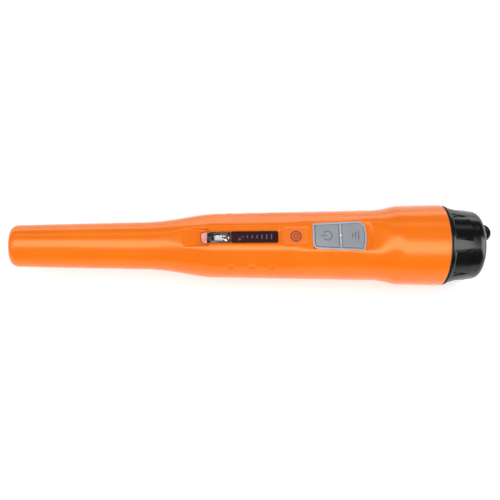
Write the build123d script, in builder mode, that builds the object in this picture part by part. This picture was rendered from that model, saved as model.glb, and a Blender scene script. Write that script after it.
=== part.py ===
from build123d import *
from math import atan2, cos, degrees, radians, sin, tan
import os

# A hand-held pinpointing metal detector. The X axis runs from the flat face of the probe's tip (X = 0)
# to the battery cap, and +Z is the side that carries the window and the keys. Millimetres.

# ---- housing, outside ----
tip_face_radius = 5.95
tip_corner_x = 3.75
tip_radius = 9.62
probe_end_x = 62.0
probe_end_radius = 10.98
flare_middle_x = 78.0
flare_middle_radius = 12.80
handle_start_x = 94.0
handle_start_radius = 14.95
handle_end_x = 166.0
handle_end_radius = 16.80
swell_middle_x = 175.5
swell_middle_radius = 17.95
barrel_start_x = 187.0
barrel_radius = 19.25
rim_x = 201.5
rim_rounding = 0.5

# ---- control face: a flat that rises slightly towards the cap ----
face_slope = 1.16
face_height_at_origin = 11.61
face_front_x = 68.0
face_front_height = 11.4
face_start_x = 88.5
face_end_x = 166.0
scoop_end_x = 178.0
scoop_rise = 4.7

# ---- torch ramp, window and label, measured along the control face ----
ramp_start_x = 78.7
ramp_end_x = 89.0
ramp_start_height = 11.9
ramp_end_height = 11.35
ramp_width = 8.2
window_frame_end_x = 123.3
window_frame_width = 7.1
window_frame_depth = 0.5
window_frame_corner = 0.9
window_start_x = 100.8
window_end_x = 122.3
window_width = 5.5
window_seat_depth = 1.3
window_thickness = 0.95
window_corner = 0.6
lens_toe_x = 86.8
lens_crown_x = 89.7
lens_gap = 0.15
light_well_width = 3.8
light_wells = ((92.5, 99.0), (103.0, 120.0))
label_start_x = 124.3
label_end_x = 136.6
label_width = 8.4
label_depth = 0.3
label_corner = 1.4

# ---- keypad ----
keypad_start_x = 138.1
keypad_shoulder_x = 161.8
keypad_end_x = 163.0
keypad_front_half_width = 6.1
keypad_rear_half_width = 7.2
keypad_large_corner = 2.8
keypad_small_corner = 1.7
keypad_depth = 1.5
bezel_rise = 0.25
bezel_border = 1.0
divider_x = 150.9
divider_half_width = 0.5
key_gap = 0.3
key_rise = 0.55
key_underside = 0.75
key_softening = 0.3
power_key_x = 144.8
mode_key_x = 157.8
plunger_radius = 1.4
plunger_hole_radius = 1.8
plunger_foot_height = 12.45
indicator_radius = 0.35

# ---- grips: three shallow dimples on each side ----
grip_xs = (100.6, 110.2, 119.8)
grip_angle = 60
grip_ball_radius = 2.2
grip_depth = 0.45

# ---- housing, inside ----
tip_wall = 2.7
probe_bore_radius = 7.6
cone_start_x = 77.0
bay_start_x = 92.0
bay_radius = 13.1
bay_top = 11.8
cone_top = 10.2
battery_bay_start_x = 147.0
battery_bay_end_x = 193.0
battery_bay_width = 27.1
battery_bay_height = 18.1
battery_bay_corner = 3.0
board_slot_end_x = 167.0
board_slot_width = 15.6
mouth_radius = 17.2

# ---- battery cap ----
cap_turn = 120.0
cap_travel = 8.4
skirt_start_x = 193.3
skirt_radius = 17.0
skirt_bore_radius = 15.6
core_radius = 13.2
shoulder_x = 199.5
core_end_x = 216.0
gasket_start_x = 201.6
flange_start_x = 202.4
flange_end_x = 204.4
flange_radius = 18.95
flange_rounding = 0.45
gasket_inset = 0.7
grip_ring_radius = 18.3
grip_ring_end_x = 212.2
grip_ring_end_radius = 16.85
cap_shoulder_x = 216.0
cap_shoulder_radius = 16.3
cap_end_x = 220.3
cap_end_face_radius = 11.6
rib_count = 6
rib_tilt = 17.0
pocket_width = 13.6
pocket_floor_radius = 15.7
pocket_wall_x = 204.8

# ---- lugs of the cap in their helical slots ----
lug_count = 3
lug_radius = 17.95
lug_root = 0.2
lug_width = 2.0
lug_sweep = 16.0
lug_rest_x = 195.3
slot_radius = 18.3
slot_clearance = 0.45
slot_end_gap = 4.0

# ---- lanyard eye ----
eye_centre_x = 223.2
eye_centre_y = 6.0
eye_outer_radius = 4.3
eye_hole_radius = 2.3
eye_thickness = 3.0
eye_root_x = 217.4

# ---- sensing head in the probe ----
rod_radius = 4.4
rod_start_x = 6.0
rod_end_x = 66.0
former_start_x = 8.0
former_end_x = 62.0
former_radius = 5.3
winding_radius = 6.1
transmit_winding = (12.0, 30.0)
receive_windings = ((34.0, 44.0), (47.0, 57.0))
ring_radius = 7.35
ring_xs = (8.5, 59.0)
ring_length = 2.0
ring_notch_clearance = 0.1
shield_end_x = 70.0
lead_radius = 0.35
lead_spacing = 2.4
lead_height = 6.6
lead_board_height = 9.55
lead_bend = 12.0
lead_end_straight = 1.0

# ---- sled and main board ----
board_start_x = 92.5
board_end_x = 166.0
board_width = 13.8
board_bottom = 9.9
board_top = 10.9
sled_start_x = 97.5
sled_bottom = 9.1
sled_width = 14.8
sled_rail_width = 1.8
sled_bar_xs = (99.2, 122.2)
sled_bar_length = 3.5
bulkhead_start_x = 145.3
bulkhead_width = 18.6
bulkhead_bottom = -8.9
bulkhead_window = 14.0
screw_radius = 0.8
screw_hole_radius = 0.85
screw_head_radius = 1.5
screw_head_height = 0.6
screw_slot = (1.5, 0.4, 0.1)
screw_places = ((122.2, 3.6), (122.2, -3.6), (151.5, 4.6), (151.5, -4.6))

# ---- components on the board: places as (x, y), sizes as length, width and height ----
microcontroller_places = ((105.5, 0),)
microcontroller_size = (7.0, 7.0, 1.2)
amplifier_places = ((113.2, 2.5), (113.2, -2.5))
amplifier_size = (4.6, 4.0, 1.5)
crystal_places = ((118.3, 0),)
crystal_size = (2.0, 4.4, 1.0)
inductor_places = ((141.0, -2.4),)
inductor_size = (5.0, 5.0, 3.0)
switch_size = (4.0, 4.0, 0.7)
status_led_places = ((106.0, 0), (111.5, 0), (117.0, 0))
status_led_size = (1.6, 1.6, 0.6)
torch_led_places = ((95.0, 0),)
torch_led_size = (3.2, 2.8, 0.8)
capacitor_places = ((127.0, 2.8), (132.2, 2.8), (137.4, 2.8))
capacitor_radius = 2.2
capacitor_height = 5.5
capacitor_edge = 0.3

# ---- sounder and vibration motor ----
buzzer_x = 108.0
buzzer_radius = 6.5
buzzer_bottom = -11.3
buzzer_height = 4.6
buzzer_wall = 0.6
buzzer_floor = 1.0
disc_height = 0.4
motor_y = -5.5
motor_z = 2.0
motor_radius = 3.0
motor_start_x = 119.0
motor_end_x = 131.0
shaft_radius = 0.5
shaft_bore_radius = 0.55
shaft_start_x = 121.0
shaft_end_x = 137.0
weight_start_x = 132.5
weight_end_x = 136.5
weight_radius = 2.8
weight_hub_radius = 1.2
weight_cut_gap = 0.4    # between the shaft and the flat of the half-round weight
motor_clip_length = 6.0
motor_clip_width = 3.6

# ---- battery and its contacts ----
contact_board_end_x = 148.0
contact_board_width = 26.0
contact_board_height = 17.0
terminal_start_x = 148.3
battery_start_x = 150.1
battery_end_x = 196.5
battery_width = 26.5
battery_height = 17.5
battery_wall = 0.35
cell_radius = 4.1
cell_length = 43.0
cell_gap = 0.15
cell_columns = 3
cell_rows = 2
battery_edge = 0.3
terminal_spacing = 12.95
stud_radius = 2.9
socket_radius = 4.3
socket_bore_radius = 3.15
snap_end_x = 149.8
pad_radius = 15.1
pad_start_x = 196.6
pad_end_x = 198.4
washer_end_x = 199.3
battery_lead_xs = (143.2, 147.0)
battery_lead_ys = (3.2, 4.9)
battery_lead_height = 4.5
battery_lead_bend = 1.4

cell_pitch = 2 * cell_radius + cell_gap

clearance_cut = 30.0    # long enough to cut past the outside of the housing

# The control face: its local X runs from the tip to the cap along the flat.
face_rise = tan(radians(face_slope))
face_plane = Plane(
    origin=(0, 0, face_height_at_origin),
    x_dir=(cos(radians(face_slope)), 0, sin(radians(face_slope))),
    z_dir=(-sin(radians(face_slope)), 0, cos(radians(face_slope))),
)


def face_height(x):
    """Height of the control face at a distance from the tip."""
    return face_height_at_origin + face_rise * x


def ramp_height(x):
    """Height of the torch ramp's floor at a distance from the tip."""
    return ramp_start_height + (x - ramp_start_x) * (
        (ramp_end_height - ramp_start_height) / (ramp_end_x - ramp_start_x)
    )


def handle_radius(x):
    """Outer radius of the straight tapering handle at a distance from the tip."""
    return handle_start_radius + (x - handle_start_x) * (
        (handle_end_radius - handle_start_radius) / (handle_end_x - handle_start_x)
    )


def station(x):
    """A plane across the probe at a distance from the tip: its local X is +Y and its local Y is +Z."""
    return Plane(origin=(x, 0, 0), x_dir=(0, 1, 0), z_dir=(1, 0, 0))


def finish_piece(piece, name):
    """Label a piece and write it as its own STEP file."""
    piece.part.label = name
    export_step(piece.part, f"parts/{name}.step")


def tube(name, start, end, outer, inner):
    """A plain tube round the probe's axis."""
    with BuildPart() as piece:
        with BuildSketch(station(start)):
            Circle(outer)
            Circle(inner, mode=Mode.SUBTRACT)
        extrude(amount=end - start)
    finish_piece(piece, name)


def box_between(low, high):
    """A box in the current part, from its lowest corner to its highest."""
    centre = [(a + b) / 2 for a, b in zip(low, high)]
    size = [b - a for a, b in zip(low, high)]
    with Locations(Location(centre)):
        Box(*size)


def rectangle_on_face(start, end, width, corner):
    """A rounded rectangle in the current sketch of the control face."""
    with Locations(((start + end) / 2, 0)):
        RectangleRounded(end - start, width, corner)


def keypad_outline(inset=0.0, start=0.0, end=keypad_end_x):
    """The keypad's outline on the control face, inset, and kept only between two stations.

    The front corner towards -Y and the rear corner towards +Y are the large ones.
    """
    front, rear = keypad_front_half_width, keypad_rear_half_width
    with BuildSketch() as outline:
        with BuildLine():
            Polyline(
                (keypad_shoulder_x, rear),
                (keypad_start_x, front),
                (keypad_start_x, -front),
                (keypad_shoulder_x, -rear),
            )
            ThreePointArc((keypad_shoulder_x, -rear), (keypad_end_x, 0), (keypad_shoulder_x, rear))
        make_face()
        for corner, corner_radius in (
            ((keypad_start_x, front), keypad_small_corner),
            ((keypad_start_x, -front), keypad_large_corner),
            ((keypad_shoulder_x, rear), keypad_large_corner),
            ((keypad_shoulder_x, -rear), keypad_small_corner),
        ):
            fillet(outline.vertices().sort_by_distance(corner)[0], corner_radius)
        if inset:
            offset(amount=-inset, mode=Mode.REPLACE)
        with Locations(((start + end) / 2, 0)):
            Rectangle(end - start, clearance_cut, mode=Mode.INTERSECT)
    return outline.sketch


def helical_bar(first_angle, last_angle, inner, outer, width):
    """A bar of rectangular section along the cap's thread, between two angles from the lug's centre."""
    pitch = cap_travel * 360 / cap_turn
    start_x = lug_rest_x + pitch * first_angle / 360
    with BuildPart() as bar:
        with BuildLine() as path:
            Helix(
                pitch,
                pitch * (last_angle - first_angle) / 360,
                (inner + outer) / 2,
                center=(start_x, 0, 0),
                direction=(1, 0, 0),
            )
        first = path.line @ 0
        with BuildSketch(Plane(first, x_dir=(0, first.Y, first.Z), z_dir=path.line % 0)):
            Rectangle(outer - inner, width)
        sweep(is_frenet=True)
    return bar.part.rotate(Axis.X, first_angle - degrees(atan2(first.Z, first.Y)))


def wire(points, bend):
    """A round wire along straight runs joined by tangent arcs."""
    with BuildPart() as strand:
        with BuildLine() as route:
            FilletPolyline(*points, radius=bend)
        with BuildSketch(Plane(origin=route.line @ 0, z_dir=route.line % 0)):
            Circle(lead_radius)
        sweep()
    return strand.part


os.makedirs("parts", exist_ok=True)

# ================ housing ================

with BuildPart() as housing_cavity:
    with BuildSketch(Plane.XZ):
        with BuildLine():
            Polyline(
                (tip_wall, 0),
                (tip_wall, probe_bore_radius),
                (cone_start_x, probe_bore_radius),
                (bay_start_x, bay_radius),
                (bay_start_x, 0),
                (tip_wall, 0),
            )
        make_face()
    revolve(axis=Axis.X)
    with BuildSketch(Plane.XZ):
        with Locations(((tip_wall + bay_start_x) / 2, cone_top + clearance_cut / 2)):
            Rectangle(bay_start_x - tip_wall, clearance_cut)
    extrude(amount=clearance_cut, both=True, mode=Mode.SUBTRACT)
    with BuildSketch(station(bay_start_x)):
        Circle(bay_radius)
        with Locations((0, bay_top + clearance_cut / 2)):
            Rectangle(clearance_cut * 2, clearance_cut, mode=Mode.SUBTRACT)
    extrude(amount=battery_bay_start_x - bay_start_x)
    with BuildSketch(station(battery_bay_start_x)):
        RectangleRounded(battery_bay_width, battery_bay_height, battery_bay_corner)
    extrude(amount=rim_x - battery_bay_start_x)
    with BuildSketch(station(battery_bay_start_x)):
        with Locations((0, bay_top / 2)):
            Rectangle(board_slot_width, bay_top)
    extrude(amount=board_slot_end_x - battery_bay_start_x)
    with BuildSketch(station(battery_bay_end_x)):
        Circle(mouth_radius)
    extrude(amount=rim_x - battery_bay_end_x)

slot_bar = helical_bar(
    -lug_sweep / 2 - slot_end_gap,
    cap_turn + lug_sweep,
    skirt_radius,
    slot_radius,
    lug_width + 2 * slot_clearance,
)
keypad_area = keypad_outline()

with BuildPart() as body_shell:
    # the outside: probe, flare, handle, swell and barrel, turned round the X axis
    with BuildSketch(Plane.XZ):
        with BuildLine():
            Line((0, 0), (0, tip_face_radius))
            TangentArc((0, tip_face_radius), (tip_corner_x, tip_radius), tangent=(0, 1))
            probe = Line((tip_corner_x, tip_radius), (probe_end_x, probe_end_radius))
            handle = Line((handle_start_x, handle_start_radius), (handle_end_x, handle_end_radius))
            Spline(
                probe @ 1,
                (flare_middle_x, flare_middle_radius),
                handle @ 0,
                tangents=[probe % 1, handle % 0],
            )
            Spline(
                handle @ 1,
                (swell_middle_x, swell_middle_radius),
                (barrel_start_x, barrel_radius),
                tangents=[handle % 1, (1, 0)],
            )
            Polyline(
                (barrel_start_x, barrel_radius),
                (rim_x - rim_rounding, barrel_radius),
                (rim_x, barrel_radius - rim_rounding),
                (rim_x, 0),
                (0, 0),
            )
        make_face()
    revolve(axis=Axis.X)
    # the control face: it runs out into the flare in front, and a scoop rises from it to the barrel
    with BuildSketch(Plane.XZ):
        with BuildLine():
            Polyline(
                (face_front_x, face_front_height),
                (face_start_x, face_height(face_start_x)),
                (face_end_x, face_height(face_end_x)),
            )
            scoop = TangentArc(
                (face_end_x, face_height(face_end_x)),
                (scoop_end_x, face_height(face_end_x) + scoop_rise),
                tangent=(1, face_rise),
            )
            Polyline(
                scoop @ 1,
                (scoop_end_x, clearance_cut),
                (face_front_x, clearance_cut),
                (face_front_x, face_front_height),
            )
        make_face()
    extrude(amount=clearance_cut, both=True, mode=Mode.SUBTRACT)
    # torch ramp
    with BuildSketch(Plane.XZ):
        with BuildLine():
            Polyline(
                (ramp_start_x, ramp_start_height),
                (ramp_end_x, ramp_end_height),
                (ramp_end_x, clearance_cut),
                (ramp_start_x, clearance_cut),
                close=True,
            )
        make_face()
    extrude(amount=ramp_width / 2, both=True, mode=Mode.SUBTRACT)
    # window frame, window seat, label recess and keypad recess
    with BuildSketch(face_plane.offset(-window_frame_depth)):
        rectangle_on_face(
            ramp_end_x - 2 * window_frame_corner,
            window_frame_end_x,
            window_frame_width,
            window_frame_corner,
        )
    extrude(amount=clearance_cut, mode=Mode.SUBTRACT)
    with BuildSketch(face_plane.offset(-window_seat_depth)):
        rectangle_on_face(ramp_end_x - 2 * window_corner, window_end_x, window_width, window_corner)
    extrude(amount=clearance_cut, mode=Mode.SUBTRACT)
    with BuildSketch(face_plane.offset(-label_depth)):
        rectangle_on_face(label_start_x, label_end_x, label_width, label_corner)
    extrude(amount=clearance_cut, mode=Mode.SUBTRACT)
    with BuildSketch(face_plane.offset(-keypad_depth)):
        add(keypad_area)
    extrude(amount=clearance_cut, mode=Mode.SUBTRACT)
    # grip dimples
    for grip_x in grip_xs:
        for side in (-grip_angle, grip_angle):
            ball_distance = handle_radius(grip_x) + grip_ball_radius - grip_depth
            ball_y = ball_distance * sin(radians(side))
            ball_z = ball_distance * cos(radians(side))
            with Locations((grip_x, ball_y, ball_z)):
                Sphere(grip_ball_radius, mode=Mode.SUBTRACT)
    add(housing_cavity.part, mode=Mode.SUBTRACT)
    # light wells under the lens and the window, and the holes for the key plungers
    with BuildSketch(Plane.XY.offset(cone_top)):
        for well_start, well_end in light_wells:
            with Locations(((well_start + well_end) / 2, 0)):
                Rectangle(well_end - well_start, light_well_width)
        with Locations((power_key_x, 0), (mode_key_x, 0)):
            Circle(plunger_hole_radius)
    extrude(amount=clearance_cut, mode=Mode.SUBTRACT)
    # helical slots for the lugs of the cap
    for index in range(lug_count):
        add(slot_bar.rotate(Axis.X, 360 / lug_count * index), mode=Mode.SUBTRACT)
finish_piece(body_shell, "body_shell")

# ================ window, lens and label ================

with BuildPart() as torch_lens:
    with BuildSketch(Plane.XZ):
        with BuildLine():
            seat = face_height(ramp_end_x) - window_seat_depth
            Polyline(
                (lens_toe_x, ramp_height(lens_toe_x)),
                (ramp_end_x, ramp_height(ramp_end_x)),
                (ramp_end_x, seat),
                (window_start_x - lens_gap, seat + face_rise * (window_start_x - ramp_end_x)),
                (window_start_x - lens_gap, face_height(window_start_x) - lens_gap),
                (lens_crown_x, face_height(lens_crown_x) - lens_gap),
                close=True,
            )
        make_face()
    extrude(amount=window_width / 2 - lens_gap, both=True)
finish_piece(torch_lens, "torch_lens")

with BuildPart() as window_plate:
    with BuildSketch(face_plane.offset(-window_seat_depth)):
        rectangle_on_face(
            window_start_x,
            window_end_x - lens_gap,
            window_width - 2 * lens_gap,
            window_corner,
        )
    extrude(amount=window_thickness)
finish_piece(window_plate, "window_plate")

with BuildPart() as front_label:
    with BuildSketch(face_plane.offset(-label_depth)):
        rectangle_on_face(
            label_start_x + lens_gap,
            label_end_x - lens_gap,
            label_width - 2 * lens_gap,
            label_corner - lens_gap,
        )
    extrude(amount=label_depth / 2)
finish_piece(front_label, "front_label")

# ================ keypad ================

divider_front = divider_x - divider_half_width
divider_rear = divider_x + divider_half_width
power_opening = keypad_outline(bezel_border, end=divider_front)
mode_opening = keypad_outline(bezel_border, start=divider_rear)

with BuildPart() as keypad_bezel:
    with BuildSketch(face_plane.offset(-keypad_depth)):
        add(keypad_area)
    extrude(amount=keypad_depth + bezel_rise)
    with BuildSketch(face_plane.offset(-keypad_depth)):
        add(power_opening)
        add(mode_opening)
        with Locations((divider_x, 0)):
            Circle(indicator_radius)
    extrude(amount=clearance_cut, mode=Mode.SUBTRACT)
finish_piece(keypad_bezel, "keypad_bezel")

with BuildPart() as keypad_light:
    with BuildSketch(face_plane.offset(-keypad_depth)):
        with Locations((divider_x, 0)):
            Circle(indicator_radius)
    extrude(amount=keypad_depth + bezel_rise)
finish_piece(keypad_light, "keypad_light")


def key_and_plunger(key_name, plunger_name, key_x, start, end):
    """One key with its plunger, both square to the control face."""
    key_area = keypad_outline(bezel_border + key_gap, start, end)
    with BuildPart() as key:
        with BuildSketch(face_plane.offset(-key_underside)):
            add(key_area)
        extrude(amount=key_underside + key_rise)
        fillet(key.faces().sort_by(Axis.Z)[-1].edges(), key_softening)
    finish_piece(key, key_name)
    plunger_length = face_height(key_x) - key_underside - plunger_foot_height
    with BuildPart() as plunger:
        with BuildSketch(face_plane.offset(-key_underside)):
            with Locations((key_x, 0)):
                Circle(plunger_radius)
        extrude(amount=-plunger_length)
    finish_piece(plunger, plunger_name)


key_and_plunger("power_button", "power_plunger", power_key_x, keypad_start_x, divider_front - key_gap)
key_and_plunger("mode_button", "mode_plunger", mode_key_x, divider_rear + key_gap, keypad_end_x)

# ================ sensing head ================

with BuildPart() as tip_cushion:
    with BuildSketch(station(tip_wall)):
        Circle(ring_radius)
    extrude(amount=rod_start_x - tip_wall)
finish_piece(tip_cushion, "tip_cushion")

with BuildPart() as ferrite_rod:
    with BuildSketch(station(rod_start_x)):
        Circle(rod_radius)
    extrude(amount=rod_end_x - rod_start_x)
finish_piece(ferrite_rod, "ferrite_rod")

tube("coil_former", former_start_x, former_end_x, former_radius, rod_radius)
tube("transmit_coil", *transmit_winding, winding_radius, former_radius)
tube("faraday_shield", rod_start_x, shield_end_x, probe_bore_radius, ring_radius)

with BuildPart() as receive_coil:
    for winding_start, winding_end in receive_windings:
        with BuildSketch(station(winding_start)):
            Circle(winding_radius)
            Circle(former_radius, mode=Mode.SUBTRACT)
        extrude(amount=winding_end - winding_start)
finish_piece(receive_coil, "receive_coil")

with BuildPart() as centring_rings:
    for ring_x in ring_xs:
        with BuildSketch(station(ring_x)):
            Circle(ring_radius)
            Circle(former_radius, mode=Mode.SUBTRACT)
            with Locations((0, lead_height)):
                Rectangle(
                    lead_spacing + 4 * lead_radius,
                    2 * (lead_radius + ring_notch_clearance),
                    mode=Mode.SUBTRACT,
                )
        extrude(amount=ring_length)
finish_piece(centring_rings, "centring_rings")


lead_strands = [
    wire(
        (
            (former_end_x, lead_y, lead_height),
            (cone_start_x, lead_y, lead_height),
            (bay_start_x - lead_end_straight, lead_y, lead_board_height),
            (sled_start_x - lead_end_straight, lead_y, lead_board_height),
        ),
        lead_bend,
    )
    for lead_y in (-lead_spacing / 2, lead_spacing / 2)
]

with BuildPart() as coil_leads:
    add(lead_strands)
finish_piece(coil_leads, "coil_leads")

# ================ sled, main board and its components ================

bar_half = sled_bar_length / 2

with BuildPart() as sled:
    box_between(
        (sled_start_x, -sled_width / 2, sled_bottom),
        (board_end_x, sled_width / 2, board_bottom),
    )
    open_half = sled_width / 2 - sled_rail_width
    with BuildSketch(Plane.XY.offset(sled_bottom)):
        open_spans = (
            (sled_bar_xs[0] + bar_half, sled_bar_xs[1] - bar_half),
            (sled_bar_xs[1] + bar_half, bulkhead_start_x),
        )
        for span_start, span_end in open_spans:
            with Locations(((span_start + span_end) / 2, 0)):
                Rectangle(span_end - span_start, 2 * open_half)
        with Locations(*screw_places):
            Circle(screw_hole_radius)
    extrude(amount=board_bottom - sled_bottom, mode=Mode.SUBTRACT)
    # bulkhead in front of the battery, a frame that the leads pass through
    with BuildSketch(station(bulkhead_start_x)):
        with Locations((0, (sled_bottom + bulkhead_bottom) / 2)):
            Rectangle(bulkhead_width, sled_bottom - bulkhead_bottom)
        Rectangle(bulkhead_window, bulkhead_window, mode=Mode.SUBTRACT)
    extrude(amount=battery_bay_start_x - bulkhead_start_x)
    # clip that holds the vibration motor
    clip_centre_x = (motor_start_x + motor_end_x) / 2
    clip_start = (clip_centre_x - motor_clip_length / 2, motor_y - motor_clip_width / 2)
    clip_end = (clip_centre_x + motor_clip_length / 2, motor_y + motor_clip_width / 2)
    box_between((*clip_start, motor_z), (*clip_end, sled_bottom))
    with BuildSketch(station(motor_start_x)):
        with Locations((motor_y, motor_z)):
            Circle(motor_radius)
    extrude(amount=motor_end_x - motor_start_x, mode=Mode.SUBTRACT)
finish_piece(sled, "sled")

with BuildPart() as main_board:
    box_between((board_start_x, -board_width / 2, board_bottom), (board_end_x, board_width / 2, board_top))
    with BuildSketch(Plane.XY.offset(board_bottom)):
        with Locations(*screw_places):
            Circle(screw_hole_radius)
    extrude(amount=board_top - board_bottom, mode=Mode.SUBTRACT)
finish_piece(main_board, "main_board")

with BuildPart() as board_screws:
    with BuildSketch(Plane.XY.offset(sled_bottom)):
        with Locations(*screw_places):
            Circle(screw_radius)
    extrude(amount=board_top - sled_bottom)
    with BuildSketch(Plane.XY.offset(board_top)):
        with Locations(*screw_places):
            Circle(screw_head_radius)
            RectangleRounded(*screw_slot, mode=Mode.SUBTRACT)
    extrude(amount=screw_head_height)
finish_piece(board_screws, "board_screws")


def chips(name, places, size, on_top=False):
    """Components that are boxes, on the underside of the board or on top of it."""
    length, width, height = size
    low = board_top if on_top else board_bottom - height
    with BuildPart() as piece:
        for chip_x, chip_y in places:
            box_between(
                (chip_x - length / 2, chip_y - width / 2, low),
                (chip_x + length / 2, chip_y + width / 2, low + height),
            )
    finish_piece(piece, name)


chips("microcontroller", microcontroller_places, microcontroller_size)
chips("amplifier_chips", amplifier_places, amplifier_size)
chips("crystal", crystal_places, crystal_size)
chips("power_inductor", inductor_places, inductor_size)
chips("tact_switches", ((power_key_x, 0), (mode_key_x, 0)), switch_size, on_top=True)
chips("status_leds", status_led_places, status_led_size, on_top=True)
chips("torch_led", torch_led_places, torch_led_size, on_top=True)

with BuildPart() as capacitors:
    with BuildSketch(Plane.XY.offset(board_bottom)):
        with Locations(*capacitor_places):
            Circle(capacitor_radius)
    extrude(amount=-capacitor_height)
    fillet(capacitors.faces().group_by(Axis.Z)[0].edges(), capacitor_edge)
finish_piece(capacitors, "capacitors")

# ================ sounder ================

with BuildPart() as buzzer_case:
    with BuildSketch(Plane.XY.offset(buzzer_bottom)):
        with Locations((buzzer_x, 0)):
            Circle(buzzer_radius)
    extrude(amount=buzzer_height)
    with BuildSketch(Plane.XY.offset(buzzer_bottom + buzzer_floor)):
        with Locations((buzzer_x, 0)):
            Circle(buzzer_radius - buzzer_wall)
    extrude(amount=buzzer_height, mode=Mode.SUBTRACT)
    # the step inside that the disc rests on
    with BuildSketch(Plane.XY.offset(buzzer_bottom + buzzer_floor)):
        with Locations((buzzer_x, 0)):
            Circle(buzzer_radius - buzzer_wall)
            Circle(buzzer_radius - 2 * buzzer_wall, mode=Mode.SUBTRACT)
    extrude(amount=buzzer_height / 2)
finish_piece(buzzer_case, "buzzer_case")

with BuildPart() as buzzer_disc:
    with BuildSketch(Plane.XY.offset(buzzer_bottom + buzzer_floor + buzzer_height / 2)):
        with Locations((buzzer_x, 0)):
            Circle(buzzer_radius - buzzer_wall)
    extrude(amount=disc_height)
finish_piece(buzzer_disc, "buzzer_disc")

# ================ vibration motor ================

with BuildPart() as motor_can:
    with BuildSketch(station(motor_start_x)):
        with Locations((motor_y, motor_z)):
            Circle(motor_radius)
    extrude(amount=motor_end_x - motor_start_x)
    with BuildSketch(station(shaft_start_x)):
        with Locations((motor_y, motor_z)):
            Circle(shaft_bore_radius)
    extrude(amount=motor_end_x - shaft_start_x, mode=Mode.SUBTRACT)
finish_piece(motor_can, "motor_can")

with BuildPart() as motor_shaft:
    with BuildSketch(station(shaft_start_x)):
        with Locations((motor_y, motor_z)):
            Circle(shaft_radius)
    extrude(amount=shaft_end_x - shaft_start_x)
finish_piece(motor_shaft, "motor_shaft")

with BuildPart() as motor_weight:
    with BuildSketch(station(weight_start_x)):
        with Locations((motor_y, motor_z)):
            Circle(weight_radius)
        with Locations((motor_y, motor_z + weight_radius / 2 + shaft_radius + weight_cut_gap)):
            Rectangle(2 * weight_radius, weight_radius, mode=Mode.SUBTRACT)
        with Locations((motor_y, motor_z)):
            Circle(weight_hub_radius)
            Circle(shaft_radius, mode=Mode.SUBTRACT)
    extrude(amount=weight_end_x - weight_start_x)
finish_piece(motor_weight, "motor_weight")

# ================ battery and contacts ================

with BuildPart() as contact_board:
    with BuildSketch(station(battery_bay_start_x)):
        RectangleRounded(contact_board_width, contact_board_height, battery_bay_corner)
    extrude(amount=contact_board_end_x - battery_bay_start_x)
finish_piece(contact_board, "contact_board")


def stud_and_socket(name, start, end, stud_y, socket_y):
    """One half of a snap pair: a stud on one side and a socket on the other."""
    with BuildPart() as piece:
        with BuildSketch(station(start)):
            with Locations((stud_y, 0)):
                Circle(stud_radius)
            with Locations((socket_y, 0)):
                Circle(socket_radius)
                Circle(socket_bore_radius, mode=Mode.SUBTRACT)
        extrude(amount=end - start)
    finish_piece(piece, name)


stud_and_socket(
    "snap_contacts",
    contact_board_end_x,
    snap_end_x,
    -terminal_spacing / 2,
    terminal_spacing / 2,
)
stud_and_socket(
    "battery_terminals",
    terminal_start_x,
    battery_start_x,
    terminal_spacing / 2,
    -terminal_spacing / 2,
)

battery_strands = [
    wire(
        (
            (battery_lead_xs[1], lead_y, battery_lead_height),
            (battery_lead_xs[0], lead_y, battery_lead_height),
            (battery_lead_xs[0], lead_y, board_bottom),
        ),
        battery_lead_bend,
    )
    for lead_y in battery_lead_ys
]

with BuildPart() as battery_leads:
    add(battery_strands)
finish_piece(battery_leads, "battery_leads")

with BuildPart() as battery_case:
    with BuildSketch(station(battery_start_x)):
        RectangleRounded(battery_width, battery_height, battery_bay_corner)
    extrude(amount=battery_end_x - battery_start_x)
    fillet(battery_case.faces().sort_by(Axis.X)[-1].edges(), battery_edge)
    with BuildSketch(station(battery_start_x + battery_wall)):
        RectangleRounded(
            battery_width - 2 * battery_wall,
            battery_height - 2 * battery_wall,
            battery_bay_corner - battery_wall,
        )
    extrude(amount=battery_end_x - battery_start_x - 2 * battery_wall, mode=Mode.SUBTRACT)
finish_piece(battery_case, "battery_case")

with BuildPart() as battery_cells:
    with BuildSketch(station((battery_start_x + battery_end_x - cell_length) / 2)):
        with GridLocations(cell_pitch, cell_pitch, cell_columns, cell_rows):
            Circle(cell_radius)
    extrude(amount=cell_length)
finish_piece(battery_cells, "battery_cells")

with BuildPart() as battery_pad:
    with BuildSketch(station(pad_start_x)):
        Circle(pad_radius)
    extrude(amount=pad_end_x - pad_start_x)
finish_piece(battery_pad, "battery_pad")

with BuildPart() as slip_washer:
    with BuildSketch(station(pad_end_x)):
        Circle(pad_radius)
    extrude(amount=washer_end_x - pad_end_x)
finish_piece(slip_washer, "slip_washer")

# ================ battery cap ================

lug_bar = helical_bar(-lug_sweep / 2, lug_sweep / 2, skirt_radius - lug_root, lug_radius, lug_width)

with BuildPart() as pocket_cutter:
    with BuildSketch(Plane.XZ):
        with BuildLine():
            Polyline(
                (pocket_wall_x, pocket_floor_radius),
                (grip_ring_end_x, grip_ring_end_radius),
                (grip_ring_end_x, clearance_cut),
                (pocket_wall_x, clearance_cut),
                close=True,
            )
        make_face()
    extrude(amount=pocket_width / 2, both=True)

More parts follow.
